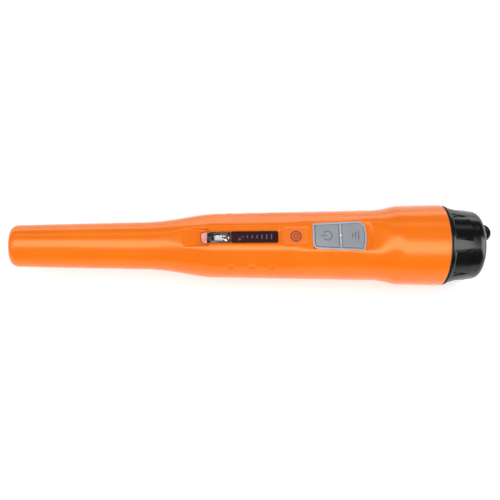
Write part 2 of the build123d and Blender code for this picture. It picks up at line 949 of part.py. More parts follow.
with BuildPart() as battery_cap:
    with BuildSketch(Plane.XZ):
        with BuildLine():
            Polyline(
                (core_end_x, 0),
                (core_end_x, core_radius),
                (shoulder_x, core_radius),
                (shoulder_x, skirt_bore_radius),
                (skirt_start_x, skirt_bore_radius),
                (skirt_start_x, skirt_radius),
                (flange_start_x, skirt_radius),
                (flange_start_x, flange_radius - flange_rounding),
                (flange_start_x + flange_rounding, flange_radius),
                (flange_end_x - flange_rounding, flange_radius),
                (flange_end_x, grip_ring_radius),
            )
            Spline(
                (flange_end_x, grip_ring_radius),
                (grip_ring_end_x, grip_ring_end_radius),
                (cap_shoulder_x, cap_shoulder_radius),
            )
            TangentArc(
                (cap_end_x, cap_end_face_radius),
                (cap_shoulder_x, cap_shoulder_radius),
                tangent=(0, 1),
            )
            Polyline((cap_end_x, cap_end_face_radius), (cap_end_x, 0), (core_end_x, 0))
        make_face()
    revolve(axis=Axis.X)
    # pockets between the ribs, deepest at the flange
    for index in range(rib_count):
        pocket_angle = rib_tilt + 360 / rib_count * (index + 0.5)
        add(pocket_cutter.part.rotate(Axis.X, pocket_angle), mode=Mode.SUBTRACT)
    for index in range(lug_count):
        add(lug_bar.rotate(Axis.X, 360 / lug_count * index))
    # slot for the root of the lanyard eye
    with BuildSketch(Plane.XY.offset(-eye_thickness / 2)):
        with Locations(((eye_root_x + cap_end_x) / 2, eye_centre_y)):
            Rectangle(cap_end_x - eye_root_x, 2 * eye_outer_radius)
    extrude(amount=eye_thickness, mode=Mode.SUBTRACT)
finish_piece(battery_cap, "battery_cap")

tube("cap_gasket", gasket_start_x, flange_start_x, flange_radius - gasket_inset, skirt_radius)

with BuildPart() as lanyard_eye:
    with BuildSketch(Plane.XY.offset(-eye_thickness / 2)):
        with Locations((eye_centre_x, eye_centre_y)):
            Circle(eye_outer_radius)
        with Locations(((eye_root_x + eye_centre_x) / 2, eye_centre_y)):
            Rectangle(eye_centre_x - eye_root_x, 2 * eye_outer_radius)
        with Locations((eye_centre_x, eye_centre_y)):
            Circle(eye_hole_radius, mode=Mode.SUBTRACT)
    extrude(amount=eye_thickness)
finish_piece(lanyard_eye, "lanyard_eye")
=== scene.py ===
"""A hand-held pinpointing metal detector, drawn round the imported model. Lengths are in millimetres here."""
import math

import bpy
from mathutils import Matrix, Vector


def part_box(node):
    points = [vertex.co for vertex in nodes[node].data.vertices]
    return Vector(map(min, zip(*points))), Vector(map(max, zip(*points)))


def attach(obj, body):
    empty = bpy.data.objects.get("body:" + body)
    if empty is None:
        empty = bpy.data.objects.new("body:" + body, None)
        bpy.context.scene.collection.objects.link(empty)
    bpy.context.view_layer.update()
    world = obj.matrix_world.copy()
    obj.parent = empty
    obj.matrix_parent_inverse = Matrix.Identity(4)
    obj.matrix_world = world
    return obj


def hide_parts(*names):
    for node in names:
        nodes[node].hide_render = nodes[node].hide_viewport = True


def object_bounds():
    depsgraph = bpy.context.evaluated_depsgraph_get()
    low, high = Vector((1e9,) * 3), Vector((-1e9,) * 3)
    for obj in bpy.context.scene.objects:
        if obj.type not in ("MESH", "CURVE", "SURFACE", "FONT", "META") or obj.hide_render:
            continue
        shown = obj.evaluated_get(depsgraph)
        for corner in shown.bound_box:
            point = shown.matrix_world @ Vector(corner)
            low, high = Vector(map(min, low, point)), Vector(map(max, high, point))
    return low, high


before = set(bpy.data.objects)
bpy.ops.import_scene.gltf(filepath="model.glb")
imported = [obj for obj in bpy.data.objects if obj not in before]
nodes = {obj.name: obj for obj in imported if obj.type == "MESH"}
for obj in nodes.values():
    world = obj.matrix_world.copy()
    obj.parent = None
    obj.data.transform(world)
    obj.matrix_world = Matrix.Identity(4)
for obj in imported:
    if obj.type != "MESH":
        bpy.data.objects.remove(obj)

MM = 0.001
cad_low, cad_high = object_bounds()

# ---- housing profile: (distance from the tip, radius) where the slope changes ----
TIP_FACE_RADIUS = 5.95
TIP_CORNER_X = 3.75
TIP_RADIUS = 9.62
PROBE_END = (62.0, 10.98)
FLARE_MIDDLE = (78.0, 12.80)
HANDLE_START = (94.0, 14.95)
HANDLE_MIDDLE_X = 110.0
HANDLE_END = (168.5, 16.68)
SWELL_MIDDLE = (175.4, 17.72)
BARREL_START = (180.6, 18.72)
RIM_RADIUS = 19.25
RIM_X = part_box("body_shell")[1].x / MM
RIM_ROUNDING = 0.5
BAY_START_X = 147.5
BAY_RADIUS = 15.6
BAY_HALF_HEIGHT = 9.1
MOUTH_START_X = 192.9

# ---- control face ----
FACE_SLOPE = math.radians(1.16)
FACE_HEIGHT_AT_ORIGIN = 11.61
FACE_FRONT = (68.0, 11.4)
FACE_RUNOUT_SLOPE = 0.4
FACE_START_X = 88.5
FACE_END_X = 166.0
FACE_CROWN = 0.062
CROWN_START_Y = 3.5
CROWN_APPEARS_X = (84.0, 94.0)
CROWN_FADES_X = (127.0, 137.0)
SCOOP_LENGTH = 12.0
SCOOP_RISE = 4.7
RAMP = (78.7, 89.0)
RAMP_HEIGHTS = (12.4, 11.35)
BOARD_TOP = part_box("main_board")[1].z / MM
FACET_ANGLE = math.radians(36)
FACET_APPEARS_X = (70.0, 92.0)
FACET_FADES_X = (150.0, 172.0)
FACET_CLEARANCE = 0.4
FACET_SOFTNESS = 0.3
GROOVE_X = (162.0, 165.9)
GROOVE_HALF_WIDTH = 6.2
GROOVE_CURVE = 0.024
GROOVE_DEPTH = 0.7
GROOVE_EDGE = (0.25, -0.35)
EDGE_SOFTNESS = 0.12

# ---- grip dimples on both flanks ----
GRIP_XS = (100.6, 110.2, 119.8)
GRIP_ANGLE = math.radians(57)
GRIP_WIDTH = 1.35
GRIP_DEPTH = 0.75
GRIP_FINE_DEGREES = 10

# ---- raised bars round the barrel ----
MARK_XS = (195.4, 196.4, 197.4, 198.4)
MARK_MIDDLE = -17
MARK_SPACING = 9
MARK_BEAD = 0.24
MARK_SINK = 0.15

# ---- keypad ----
KEYPAD_X = (138.1, 161.8)
KEYPAD_HALF_WIDTHS = (6.1, 7.2)
KEYPAD_BULGE = 1.2
KEYPAD_BULGE_LENGTH = 6
KEYPAD_CORNERS = (2.8, 1.0)
KEYPAD_RECESS_DEPTH = 1.5
KEYPAD_RECESS_INSET = 0.5
BEZEL_BORDER = 1.0
BEZEL_RISE = 0.25
BEZEL_LIP = 0.28
SMALLEST_CORNER = 0.25
KEY_GAP = 0.14
KEY_RISE = 0.55
KEY_UNDERSIDE = -0.75
KEY_SHOULDER = 0.32
KEY_CROWN = 0.1
KEY_INNER_CORNER = 0.35
DIVIDER_X = 150.9
DIVIDER_HALF = 0.5
WEB_RISE = 0.42
WEB_OVERLAP = 0.2
RIDGE_HALF_LENGTH = 4.3
RIDGE_RADIUS = 0.3
LIGHT_RADIUS = 0.5
LIGHT_LIFT = 0.1
LIGHT_HEIGHT = 0.35
LIGHT_TIP_RADIUS = 0.01
POWER_KEY_X = 144.8
MODE_KEY_X = 157.8
POWER_RING_RADIUS = 2.1
POWER_RING_DEGREES = (38, 322)
POWER_BAR = (0.3, 1.2, 2.1, 2.9)
MODE_BAR_HALVES = (0.9, 1.5, 2.1)
MODE_BAR_STEP = 1.4
SYMBOL_BEAD = 0.2

# ---- label, window and lamp, with heights measured from the control face ----
LABEL_RANGE = (124.3, 136.6)
LABEL_X = (LABEL_RANGE[0] + LABEL_RANGE[1]) / 2
LABEL_HEIGHT = -0.15
LABEL_RINGS = ((2.3, 40, 0.37), (1.1, 28, 0.33))  # (radius, steps, bead)
LABEL_DOT_HALF = 0.12
LABEL_DOT_BEAD = 0.34
WINDOW_TOP = -0.35
PRINT_HEIGHTS = (-0.05, 0.012)
SCALE_START_X = 106.0
SCALE_STEP = 2.2
SCALE_STROKES = 7
STROKE_HALF_WIDTH = 0.28
STROKE_HALF_LENGTH = 0.45
STROKE_GROWTH = 0.14
STROKE_CORNER = 0.2
STATUS_PLACE = (104.6, -1.1)
STATUS_RADIUS = 0.6
SEAT = -1.28
LENS_TOP = -0.35
LENS_X = (86.8, 100.6)
LENS_HALF_WIDTH = 2.55
LENS_CORNERS = (1.2, 0.5)
LENS_ROUNDING = 0.2
TOE_END_X = 90.2
TOE_HEIGHT = 0.25
TOE_RIDGE = 0.16
TOE_RIDGE_SPACING = 0.85
PRISMS_X = (87.3, 89.8)
PRISMS_CORNERS = (0.9, 0.2)
PRISMS_INSET = 0.3
PRISM_HEIGHT = 0.12
PRISM_RELIEF = 0.11
PRISM_SPACING = (0.9, 1.3)
TRAY_X = (89.9, 100.4)
TRAY_CORNERS = (1.7, 0.3)
TRAY_INSET = 0.05
TRAY_HEIGHT = 0.1
TRAY_DROP = 0.02
CUP_X = (92.8, 98.8)
CUP_HALF_WIDTH = 1.7
CUP_FLOOR = BOARD_TOP + 0.1
CUP_FLOOR_THICKNESS = 0.05
CUP_WALL = 0.1
CUP_INNER_SHARE = 0.94
LAMP_X = (93.1, 96.6)
LAMP_RADIUS = 1.2
LAMP_DOME_TURNS = (1.5, 1.2, 0.9, 0.6, 0.3, 0)
LAMP_REAR = ((0.7, 1.0), (0.69, 1.15), (0, 1.15))  # (distance from the rear end, share of the radius)
LAMP_HEIGHT = SEAT - 0.75
LEG_X = (96.6, 98.6)
LEG_MIDDLES = (-0.75, 0.55)
LEG_HALF_WIDTH = 0.25
LEG_HEIGHTS = (-0.5, 0.12)
PAD_X = 99.6
PAD_HALVES = ((0.75, 0.28), (0.28, 1.25))
PAD_HEIGHTS = (0.05, 0.2)

# ---- cap ----
CAP_FLANGE_X = 202.4
CAP_FLANGE_RADIUS = 18.95
CAP_SEAT_RADIUS = 17.0
CAP_BORE_RADIUS = 13.3
CAP_BORE_END_X = 216.1
FLANGE_ROUNDING = 0.4
CAP_NECK = (203.0, 18.85)
CAP_WAIST = (212.2, 16.85)
CAP_SHOULDER = (216.0, 16.3)
CAP_SHOULDER_SLOPE = -0.12
CAP_END_X = 220.3
CAP_END_RADIUS = 11.6
CAP_RIBS = 6
CAP_RIB_TILT = -17.0
POCKET_X = (203.5, 216.0)
POCKET_END_X = 212.6
POCKET_HALF_WIDTH = 6.8
POCKET_CORNER = 0.9
POCKET_DEPTH = 1.25
POCKET_CHAMFER = 0.5
POCKET_CHAMFER_SLOPE = 0.62
POCKET_WALL = 0.35

# ---- lanyard eye ----
EYE_LOW, EYE_HIGH = (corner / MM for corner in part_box("lanyard_eye"))
EYE_Y = (EYE_LOW.y + EYE_HIGH.y) / 2
EYE_RADIUS = (EYE_HIGH.y - EYE_LOW.y) / 2
EYE_X = EYE_HIGH.x - EYE_RADIUS
EYE_HALF_THICKNESS = EYE_HIGH.z
EYE_HOLE_RADIUS = 2.3
EYE_SINK = 0.6
EYE_STEPS = 32
EYE_SQUARENESS = 0.55


# ================ small maths ================

def clamp(value, low=0.0, high=1.0):
    return max(low, min(high, value))


def smoothstep(low, high, value):
    """0 before low, 1 after high, and a soft step between them; low may be the greater one."""
    t = clamp((value - low) / (high - low))
    return t * t * (3 - 2 * t)


def smooth_min(a, b, width):
    """The lower of two heights, with their crossing rounded off."""
    h = max(width - abs(a - b), 0.0) / width
    return min(a, b) - h * h * width / 4


def hermite(x, start, start_slope, end, end_slope):
    """A cubic between two points with the slopes given."""
    span = end[0] - start[0]
    t = (x - start[0]) / span
    return (
        (2 * t**3 - 3 * t**2 + 1) * start[1]
        + (t**3 - 2 * t**2 + t) * span * start_slope
        + (3 * t**2 - 2 * t**3) * end[1]
        + (t**3 - t**2) * span * end_slope
    )


def slope_between(a, b):
    return (b[1] - a[1]) / (b[0] - a[0])


def middle_slope(a, slope_a, b, c, slope_c):
    """The slope at b that keeps a two-span cubic's curvature even."""
    h, k = b[0] - a[0], c[0] - b[0]
    rise = 3 * (k * slope_between(a, b) + h * slope_between(b, c))
    return (rise - k * slope_a - h * slope_c) / (2 * (h + k))


def two_spans(x, a, slope_a, b, c, slope_c):
    """A smooth curve through three points with the slopes given at its ends."""
    slope_b = middle_slope(a, slope_a, b, c, slope_c)
    if x < b[0]:
        return hermite(x, a, slope_a, b, slope_b)
    return hermite(x, b, slope_b, c, slope_c)


def refined(start, end, step, edges=(), offsets=(), gap=0.12):
    """Stations at an even step, with a close set of them at each edge."""
    count = max(1, round((end - start) / step))
    values = [start + (end - start) * i / count for i in range(count + 1)]
    close = [edge + offset for edge in edges for offset in offsets if start < edge + offset < end]
    kept = [v for v in values if all(abs(v - c) > gap for c in close) or v in (start, end)]
    return sorted(set(kept + close))


def quarter_turn(steps, first=0):
    """Angles from 0 to a right angle, from the step given."""
    return [math.pi / 2 * k / steps for k in range(first, steps + 1)]


def full_turn(count):
    """Angles spread evenly round a circle."""
    return [2 * math.pi * k / count for k in range(count)]


def rounded_box_distance(x, y, x_range, half_width, corner):
    """Signed distance in plan to a rounded rectangle centred on the axis: negative inside."""
    half_length = (x_range[1] - x_range[0]) / 2
    dx = abs(x - (x_range[0] + x_range[1]) / 2) - half_length + corner
    dy = abs(y) - half_width + corner
    return math.hypot(max(dx, 0), max(dy, 0)) + min(max(dx, dy), 0) - corner


# ================ mesh helpers ================

def added(name, data):
    """A new object in the scene."""
    obj = bpy.data.objects.new(name, data)
    bpy.context.scene.collection.objects.link(obj)
    return obj


def piece(name, verts, faces, material, body, slot, replaces=(), sharp_over=None):
    """A smooth mesh in the frame that rides on a body; edges over an angle in degrees can stay sharp."""
    mesh = bpy.data.meshes.new(name)
    mesh.from_pydata([Vector(v) * MM for v in verts], [], faces)
    mesh.validate()
    mesh.shade_smooth()
    if sharp_over:
        mesh.set_sharp_from_angle(angle=math.radians(sharp_over))
    mesh.materials.append(material)
    obj = added(name, mesh)
    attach(obj, body)
    if replaces:
        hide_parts(*replaces)


def circle(x, radius, angles):
    """A ring of points round the axis; angles run from +Z towards +Y."""
    return [(x, radius * math.sin(a), radius * math.cos(a)) for a in angles]


def on_face(u, v, h):
    """A point above the control face: u along it from the tip, v towards +Y, h out of it."""
    return (
        u * math.cos(FACE_SLOPE) - h * math.sin(FACE_SLOPE),
        v,
        FACE_HEIGHT_AT_ORIGIN + u * math.sin(FACE_SLOPE) + h * math.cos(FACE_SLOPE),
    )


def laid(outline, height):
    """A plan outline laid on the control face at a height."""
    return [on_face(u, v, height) for u, v in outline]


def stacked(loops, close_start=True, close_end=True):
    """A skin over closed loops that all have the same number of points."""
    count = len(loops[0])
    verts = [point for loop in loops for point in loop]
    faces = []
    for i in range(len(loops) - 1):
        row, above = i * count, (i + 1) * count
        for j in range(count):
            k = (j + 1) % count
            faces.append((row + j, row + k, above + k, above + j))
    if close_start:
        faces.append(tuple(range(count - 1, -1, -1)))
    if close_end:
        faces.append(tuple(len(verts) - count + j for j in range(count)))
    return verts, faces


def merged(*parts):
    """Several (verts, faces) pairs as one."""
    verts, faces = [], []
    for part_verts, part_faces in parts:
        base = len(verts)
        verts += part_verts
        faces += [tuple(base + i for i in face) for face in part_faces]
    return verts, faces


def rounded_outline(corners, steps=6):
    """A closed outline through corners given as (x, y, radius), anticlockwise, with round corners."""
    points = []
    count = len(corners)
    for i, (x, y, radius) in enumerate(corners):
        here = Vector((x, y))
        before = (Vector(corners[i - 1][:2]) - here).normalized()
        after = (Vector(corners[(i + 1) % count][:2]) - here).normalized()
        half = before.angle(after) / 2
        centre = here + (before + after).normalized() * radius / math.sin(half)
        start = here + before * radius / math.tan(half) - centre
        end = here + after * radius / math.tan(half) - centre
        turn = start.angle_signed(end)
        for k in range(steps + 1):
            arm = start.copy()
            arm.rotate(Matrix.Rotation(-turn * k / steps, 2))
            points.append(tuple(centre + arm))
    return points


def rounded_box(u_range, v_range, corner, steps):
    """A rectangle in plan with round corners."""
    return rounded_outline([
        (u_range[0], v_range[1], corner), (u_range[0], v_range[0], corner),
        (u_range[1], v_range[0], corner), (u_range[1], v_range[1], corner),
    ], steps)


def dense(outline, spacing=0.6):
    """The outline with extra points along its straight runs."""
    points = []
    for i, (x, y) in enumerate(outline):
        nx, ny = outline[(i + 1) % len(outline)]
        count = max(1, round(math.hypot(nx - x, ny - y) / spacing))
        points += [(x + (nx - x) * k / count, y + (ny - y) * k / count) for k in range(count)]
    return points


def shrunk(outline, amount):
    """The outline moved inwards by an amount, point by point."""
    result = []
    for i, (x, y) in enumerate(outline):
        px, py = outline[i - 1]
        nx, ny = outline[(i + 1) % len(outline)]
        along = Vector((nx - px, ny - py)).normalized()
        result.append((x - along.y * amount, y + along.x * amount))
    return result


def bead(points, radius, sides=8, end_share=0.55, end_reach=0.5):
    """A round bead along points in space, with its ends narrowed and drawn out to domes."""
    loops = []
    path = [Vector(p) for p in points]
    last = len(path) - 1
    for i, point in enumerate(path):
        ahead = (path[min(i + 1, last)] - path[max(i - 1, 0)]).normalized()
        side = ahead.cross(Vector((0, 0, 1))).normalized()
        up = side.cross(ahead)
        share = end_share if i in (0, last) else 1.0
        shift = ahead * radius * end_reach * (-1 if i == 0 else 1 if i == last else 0)
        ring = []
        for angle in full_turn(sides):
            out = side * math.cos(angle) + up * math.sin(angle)
            ring.append(tuple(point + shift + out * radius * share))
        loops.append(ring)
    return stacked(loops)


def cad_faces(node, keep):
    """The faces of a CAD node whose middle, in millimetres, passes a test, as verts and faces."""
    mesh = nodes[node].data
    chosen = [p for p in mesh.polygons if keep(p.center / MM)]
    used = sorted({i for p in chosen for i in p.vertices})
    index = {v: k for k, v in enumerate(used)}
    verts = [tuple(mesh.vertices[v].co / MM) for v in used]
    return verts, [tuple(index[i] for i in p.vertices) for p in chosen]


# ================ materials ================

NOISE_SPAN = (0.3, 0.7)
TONE_SCALE = 60
GLOSS_SCALE = 180
COAT_ROUGHNESS = 0.1
WARM_SHEEN = (1.0, 0.86, 0.5, 1)


def srgb(r, g, b):
    """A colour given as 0-255 screen values, as the linear colour that shaders use."""
    def linear(c):
        c /= 255
        return c / 12.92 if c <= 0.04045 else ((c + 0.055) / 1.055) ** 2.4
    return (linear(r), linear(g), linear(b), 1.0)


def shader_of(material):
    return material.node_tree.nodes["Principled BSDF"]


def set_inputs(node, values):
    for name, value in values.items():
        node.inputs[name].default_value = value


def new_material(name, colour, roughness, metallic=0.0, specular=0.5, coat=0.0,
                 transmission=0.0, ior=1.5):
    material = bpy.data.materials.new(name)
    material.use_nodes = True
    set_inputs(shader_of(material), {
        "Base Color": colour, "Roughness": roughness, "Metallic": metallic,
        "Specular IOR Level": specular, "Coat Weight": coat, "Coat Roughness": COAT_ROUGHNESS,
        "Transmission Weight": transmission, "IOR": ior,
    })
    return material


def noise(material, scale, detail, stretch=(1, 1, 1)):
    """A noise in the object's own coordinates, in waves per metre."""
    tree = material.node_tree
    place = tree.nodes.new("ShaderNodeTexCoord")
    mapping = tree.nodes.new("ShaderNodeMapping")
    mapping.inputs["Scale"].default_value = stretch
    wave = tree.nodes.new("ShaderNodeTexNoise")
    set_inputs(wave, {"Scale": scale, "Detail": detail})
    tree.links.new(place.outputs["Object"], mapping.inputs["Vector"])
    tree.links.new(mapping.outputs["Vector"], wave.inputs["Vector"])
    return wave.outputs["Fac"]


def ranged(material, value, low, high):
    """A noise mapped to a range."""
    node = material.node_tree.nodes.new("ShaderNodeMapRange")
    set_inputs(node, {"From Min": NOISE_SPAN[0], "From Max": NOISE_SPAN[1], "To Min": low, "To Max": high})
    material.node_tree.links.new(value, node.inputs["Value"])
    return node.outputs["Result"]


def tint(material, value, dark, light):
    """Base colour between two tones by a 0-1 value."""
    tree = material.node_tree
    mix = tree.nodes.new("ShaderNodeMix")
    mix.data_type = "RGBA"
    mix.inputs["A"].default_value = dark
    mix.inputs["B"].default_value = light
    tree.links.new(value, mix.inputs["Factor"])
    tree.links.new(mix.outputs["Result"], shader_of(material).inputs["Base Color"])


def roughen(material, value, low, high):
    """Roughness between two values by a noise."""
    result = ranged(material, value, low, high)
    material.node_tree.links.new(result, shader_of(material).inputs["Roughness"])


def bump(material, value, height_mm):
    """Fine relief from a 0-1 value."""
    tree = material.node_tree
    node = tree.nodes.new("ShaderNodeBump")
    node.inputs["Distance"].default_value = height_mm * MM
    tree.links.new(value, node.inputs["Height"])
    tree.links.new(node.outputs["Normal"], shader_of(material).inputs["Normal"])


def moulded(name, dark, light, roughness, grain_mm, depth_mm, **shader):
    """Moulded plastic or rubber: two close tones, a fine surface grain and uneven gloss."""
    dark, light = srgb(*dark), srgb(*light)
    material = new_material(name, light, roughness, **shader)
    tint(material, ranged(material, noise(material, TONE_SCALE, 3), 0, 1), dark, light)
    roughen(material, noise(material, GLOSS_SCALE, 4), roughness * 0.9, roughness * 1.12)
    bump(material, noise(material, 1 / (grain_mm * MM), 2), depth_mm)
    return material


def metal(name, colour, roughness, stretch=(1, 1, 1)):
    """Drawn or plated metal with fine streaks."""
    material = new_material(name, colour, roughness, metallic=1.0)
    streaks = noise(material, 900, 3, stretch)
    roughen(material, streaks, roughness * 0.8, roughness * 1.3)
    bump(material, streaks, 0.004)
    return material


def clear(name, colour, roughness, **shader):
    """Clear or glowing plastic with slightly uneven gloss."""
    material = new_material(name, colour, roughness, **shader)
    roughen(material, noise(material, 500, 2), roughness * 0.8, roughness * 1.4)
    return material


def winding(name, colour, gap, wire):
    """Copper wire in fine turns round the rod."""
    material = new_material(name, colour, 0.3, metallic=1.0)
    tree = material.node_tree
    place = tree.nodes.new("ShaderNodeTexCoord")
    turns = tree.nodes.new("ShaderNodeTexWave")
    turns.bands_direction = "X"
    turns.inputs["Scale"].default_value = 1100
    tree.links.new(place.outputs["Object"], turns.inputs["Vector"])
    tint(material, turns.outputs["Fac"], gap, wire)
    bump(material, turns.outputs["Fac"], 0.05)
    return material


# outside
orange = moulded("orange_plastic", (232, 107, 5), (236, 113, 7), 0.22, 1.6, 0.0008, specular=0.45)
label_orange = moulded("label_plastic", (230, 104, 6), (236, 112, 8), 0.34, 0.8, 0.002)
mark_orange = moulded("mark_ink", (142, 30, 2), (156, 38, 3), 0.6, 0.5, 0.002)
cap_black = moulded("cap_plastic", (6, 6, 7), (10, 10, 11), 0.2, 0.8, 0.0008, specular=0.32)
key_rubber = moulded("key_rubber", (126, 131, 138), (134, 139, 146), 0.5, 0.5, 0.003)
# painted shade: the raised key symbols are drawn darker than the key rubber to stand in for the shade along
# their edges
key_symbol_shade_paint = moulded("key_symbol_shade_paint", (84, 88, 96), (94, 98, 106), 0.5, 0.5, 0.002)
# painted highlight: the ridge's lighter grey stands in for the highlight along it
ridge_painted_highlight = moulded("ridge_highlight_paint", (176, 178, 186), (186, 188, 196), 0.35, 0.5, 0.002)
bezel_grey = moulded("bezel_plastic", (152, 153, 166), (162, 163, 176), 0.38, 0.5, 0.002)
seal_rubber = moulded("seal_rubber", (14, 14, 14), (20, 20, 20), 0.5, 0.2, 0.006)
light_guide = clear("light_guide", srgb(236, 240, 246), 0.2, coat=0.6)
for warm in (orange, label_orange):
    shader_of(warm).inputs["Specular Tint"].default_value = WARM_SHEEN

# window and lamp
window_dark = moulded("smoked_window", (40, 24, 28), (50, 31, 35), 0.1, 2.0, 0.0006, specular=0.4)
window_mark = moulded("window_mark", (92, 72, 82), (104, 82, 92), 0.3, 0.3, 0.002)
tray_black = moulded("tray_plastic", (34, 26, 30), (42, 33, 37), 0.25, 0.5, 0.002)
status_red = moulded("status_lamp", (120, 40, 50), (140, 52, 62), 0.3, 0.5, 0.002)
lamp_white = moulded("lamp_resin", (226, 224, 232), (240, 238, 244), 0.12, 0.5, 0.001)
# painted sparkle: the prisms' blotchy pink-to-white tones stand in for glints of light in the clear toe
prism_painted_sparkle = moulded("prism_sparkle_paint", (214, 120, 108), (250, 226, 222), 0.08, 0.5, 0.004)
chrome = metal("chrome_reflector", (0.86, 0.87, 0.89, 1), 0.08)
lens_clear = clear("clear_lens", (1, 1, 1, 1), 0.03, transmission=1.0, ior=1.49)

# inside
foam = moulded("closed_foam", (34, 34, 36), (50, 50, 53), 0.9, 0.6, 0.12)
nylon = moulded("white_nylon", (205, 204, 196), (220, 219, 212), 0.45, 0.3, 0.006)
chip = moulded("chip_epoxy", (22, 22, 24), (32, 32, 34), 0.55, 0.15, 0.01)
ferrite = moulded("ferrite", (48, 48, 52), (64, 64, 68), 0.6, 0.3, 0.02)
board = moulded("circuit_board", (16, 74, 40), (24, 96, 52), 0.35, 0.5, 0.01, coat=0.3)
jacket = moulded("battery_jacket", (30, 34, 44), (40, 45, 56), 0.3, 0.5, 0.003, coat=0.4)
sleeve = moulded("cell_sleeve", (60, 66, 78), (76, 82, 94), 0.4, 0.4, 0.003)
lead_red = moulded("lead_red", (150, 22, 20), (168, 30, 26), 0.42, 0.3, 0.004)
steel = metal("steel", (0.62, 0.62, 0.64, 1), 0.28, (0.05, 1, 1))
brass = metal("brass", (0.78, 0.58, 0.26, 1), 0.3)
shield_film = metal("shield_film", (0.55, 0.56, 0.58, 1), 0.4)
COPPER, COPPER_GAP, COPPER_WIRE = (0.72, 0.30, 0.14, 1), (0.42, 0.15, 0.06, 1), (0.78, 0.34, 0.16, 1)
copper = winding("copper_winding", COPPER, COPPER_GAP, COPPER_WIRE)
led_die = clear("led_phosphor", srgb(250, 236, 150), 0.3, coat=0.8)


# ================ housing ================

def outer_radius(x):
    """Radius of the housing at a distance from the tip, past the tip's rounded corner."""
    probe_slope = slope_between((TIP_CORNER_X, TIP_RADIUS), PROBE_END)
    handle_slope = slope_between(HANDLE_START, HANDLE_END)
    barrel_slope = slope_between(BARREL_START, (RIM_X - RIM_ROUNDING, RIM_RADIUS))
    if x < PROBE_END[0]:
        return TIP_RADIUS + probe_slope * (x - TIP_CORNER_X)
    if x < HANDLE_START[0]:
        return two_spans(x, PROBE_END, probe_slope, FLARE_MIDDLE, HANDLE_START, handle_slope)
    if x < HANDLE_END[0]:
        return HANDLE_START[1] + handle_slope * (x - HANDLE_START[0])
    if x < BARREL_START[0]:
        return two_spans(x, HANDLE_END, handle_slope, SWELL_MIDDLE, BARREL_START, barrel_slope)
    return min(BARREL_START[1] + barrel_slope * (x - BARREL_START[0]), RIM_RADIUS)


def face_height(x):
    """Height of the control face along its middle, with its run-out in front and its scoop behind."""
    slope = math.tan(FACE_SLOPE)
    flat = FACE_HEIGHT_AT_ORIGIN + slope * x
    start_height = FACE_HEIGHT_AT_ORIGIN + slope * FACE_START_X
    front_slope = slope_between(FACE_FRONT, (FACE_START_X, start_height))
    if x < FACE_FRONT[0]:
        return FACE_FRONT[1] + (FACE_FRONT[0] - x) * FACE_RUNOUT_SLOPE
    if x < FACE_START_X:
        return FACE_FRONT[1] + front_slope * (x - FACE_FRONT[0])
    if x < FACE_END_X:
        return flat
    along = min(x - FACE_END_X, SCOOP_LENGTH)
    scoop_radius = (SCOOP_LENGTH**2 + SCOOP_RISE**2) / (2 * SCOOP_RISE)
    beyond = max(x - FACE_END_X - SCOOP_LENGTH, 0)
    return flat + scoop_radius - math.sqrt(scoop_radius**2 - along**2) + beyond


def ramp_height(x):
    """Height of the floor that slopes down to the front of the lens."""
    t = clamp((x - RAMP[0]) / (RAMP[1] - RAMP[0]))
    return RAMP_HEIGHTS[0] + t * (RAMP_HEIGHTS[1] - RAMP_HEIGHTS[0])


def keypad_half_width(x):
    t = (x - KEYPAD_X[0]) / (KEYPAD_X[1] - KEYPAD_X[0])
    return KEYPAD_HALF_WIDTHS[0] + t * (KEYPAD_HALF_WIDTHS[1] - KEYPAD_HALF_WIDTHS[0])


def keypad_distance(x, y):
    """Signed distance in plan to the keypad's outline, roughly: negative inside."""
    half = keypad_half_width(x)
    rear = KEYPAD_X[1] + KEYPAD_BULGE * (1 - (y / half) ** 2)
    return max(abs(y) - half, KEYPAD_X[0] - x, x - rear)


# recesses in the control face: (x range, half width, corner radius, floor as a function of x)
RECESSES = (
    ((RAMP[0], 90.5), 4.1, 0.8, ramp_height),
    ((87.2, 123.3), 3.55, 0.9, lambda x: face_height(x) - 0.5),
    ((87.8, 122.3), 2.75, 0.6, lambda x: face_height(x) - 1.3),
    ((90.5, 99.6), 2.2, 0.4, lambda x: BOARD_TOP - 0.15),
    ((103.0, 120.0), 1.9, 0.4, lambda x: BOARD_TOP - 0.15),
    (LABEL_RANGE, 4.2, 1.4, lambda x: face_height(x) - 0.3),
)
RECESS_SIDES = (1.9, 2.2, 2.75, 3.55, 4.15)
FACE_GRID_HALF_WIDTH = 8.7
FACE_GRID_STEP = 0.45


def face_drop(x, y):
    """How far the control face curves down towards its creases, in front of the keypad."""
    fade = smoothstep(*CROWN_APPEARS_X, x) * smoothstep(*reversed(CROWN_FADES_X), x)
    return fade * FACE_CROWN * max(abs(y) - CROWN_START_Y, 0) ** 2


def facet_distance(x):
    """Distance from the axis of the flat facet on each side of the control face."""
    radius = outer_radius(x)
    crease_y = math.sqrt(max(radius**2 - face_height(x)**2, 0))
    crease_z = min(face_height(x), radius) - face_drop(x, crease_y)
    distance = crease_y * math.sin(FACET_ANGLE) + crease_z * math.cos(FACET_ANGLE)
    present = smoothstep(*FACET_APPEARS_X, x) * smoothstep(*reversed(FACET_FADES_X), x)
    return distance + (1 - present) * (radius + FACET_CLEARANCE - distance)


def crease_softness(x):
    """How widely the control face's crease is rounded: crisp in front, and broad in the scoop."""
    along_handle = 0.2 * smoothstep(FACE_FRONT[0], 95.0, x)
    into_scoop = 0.9 * smoothstep(162.0, 174.0, x)
    return 0.2 + along_handle + into_scoop


def edge_share(distance):
    """1 inside an edge and 0 outside it, with the edge softened."""
    return smoothstep(EDGE_SOFTNESS, -EDGE_SOFTNESS, distance)


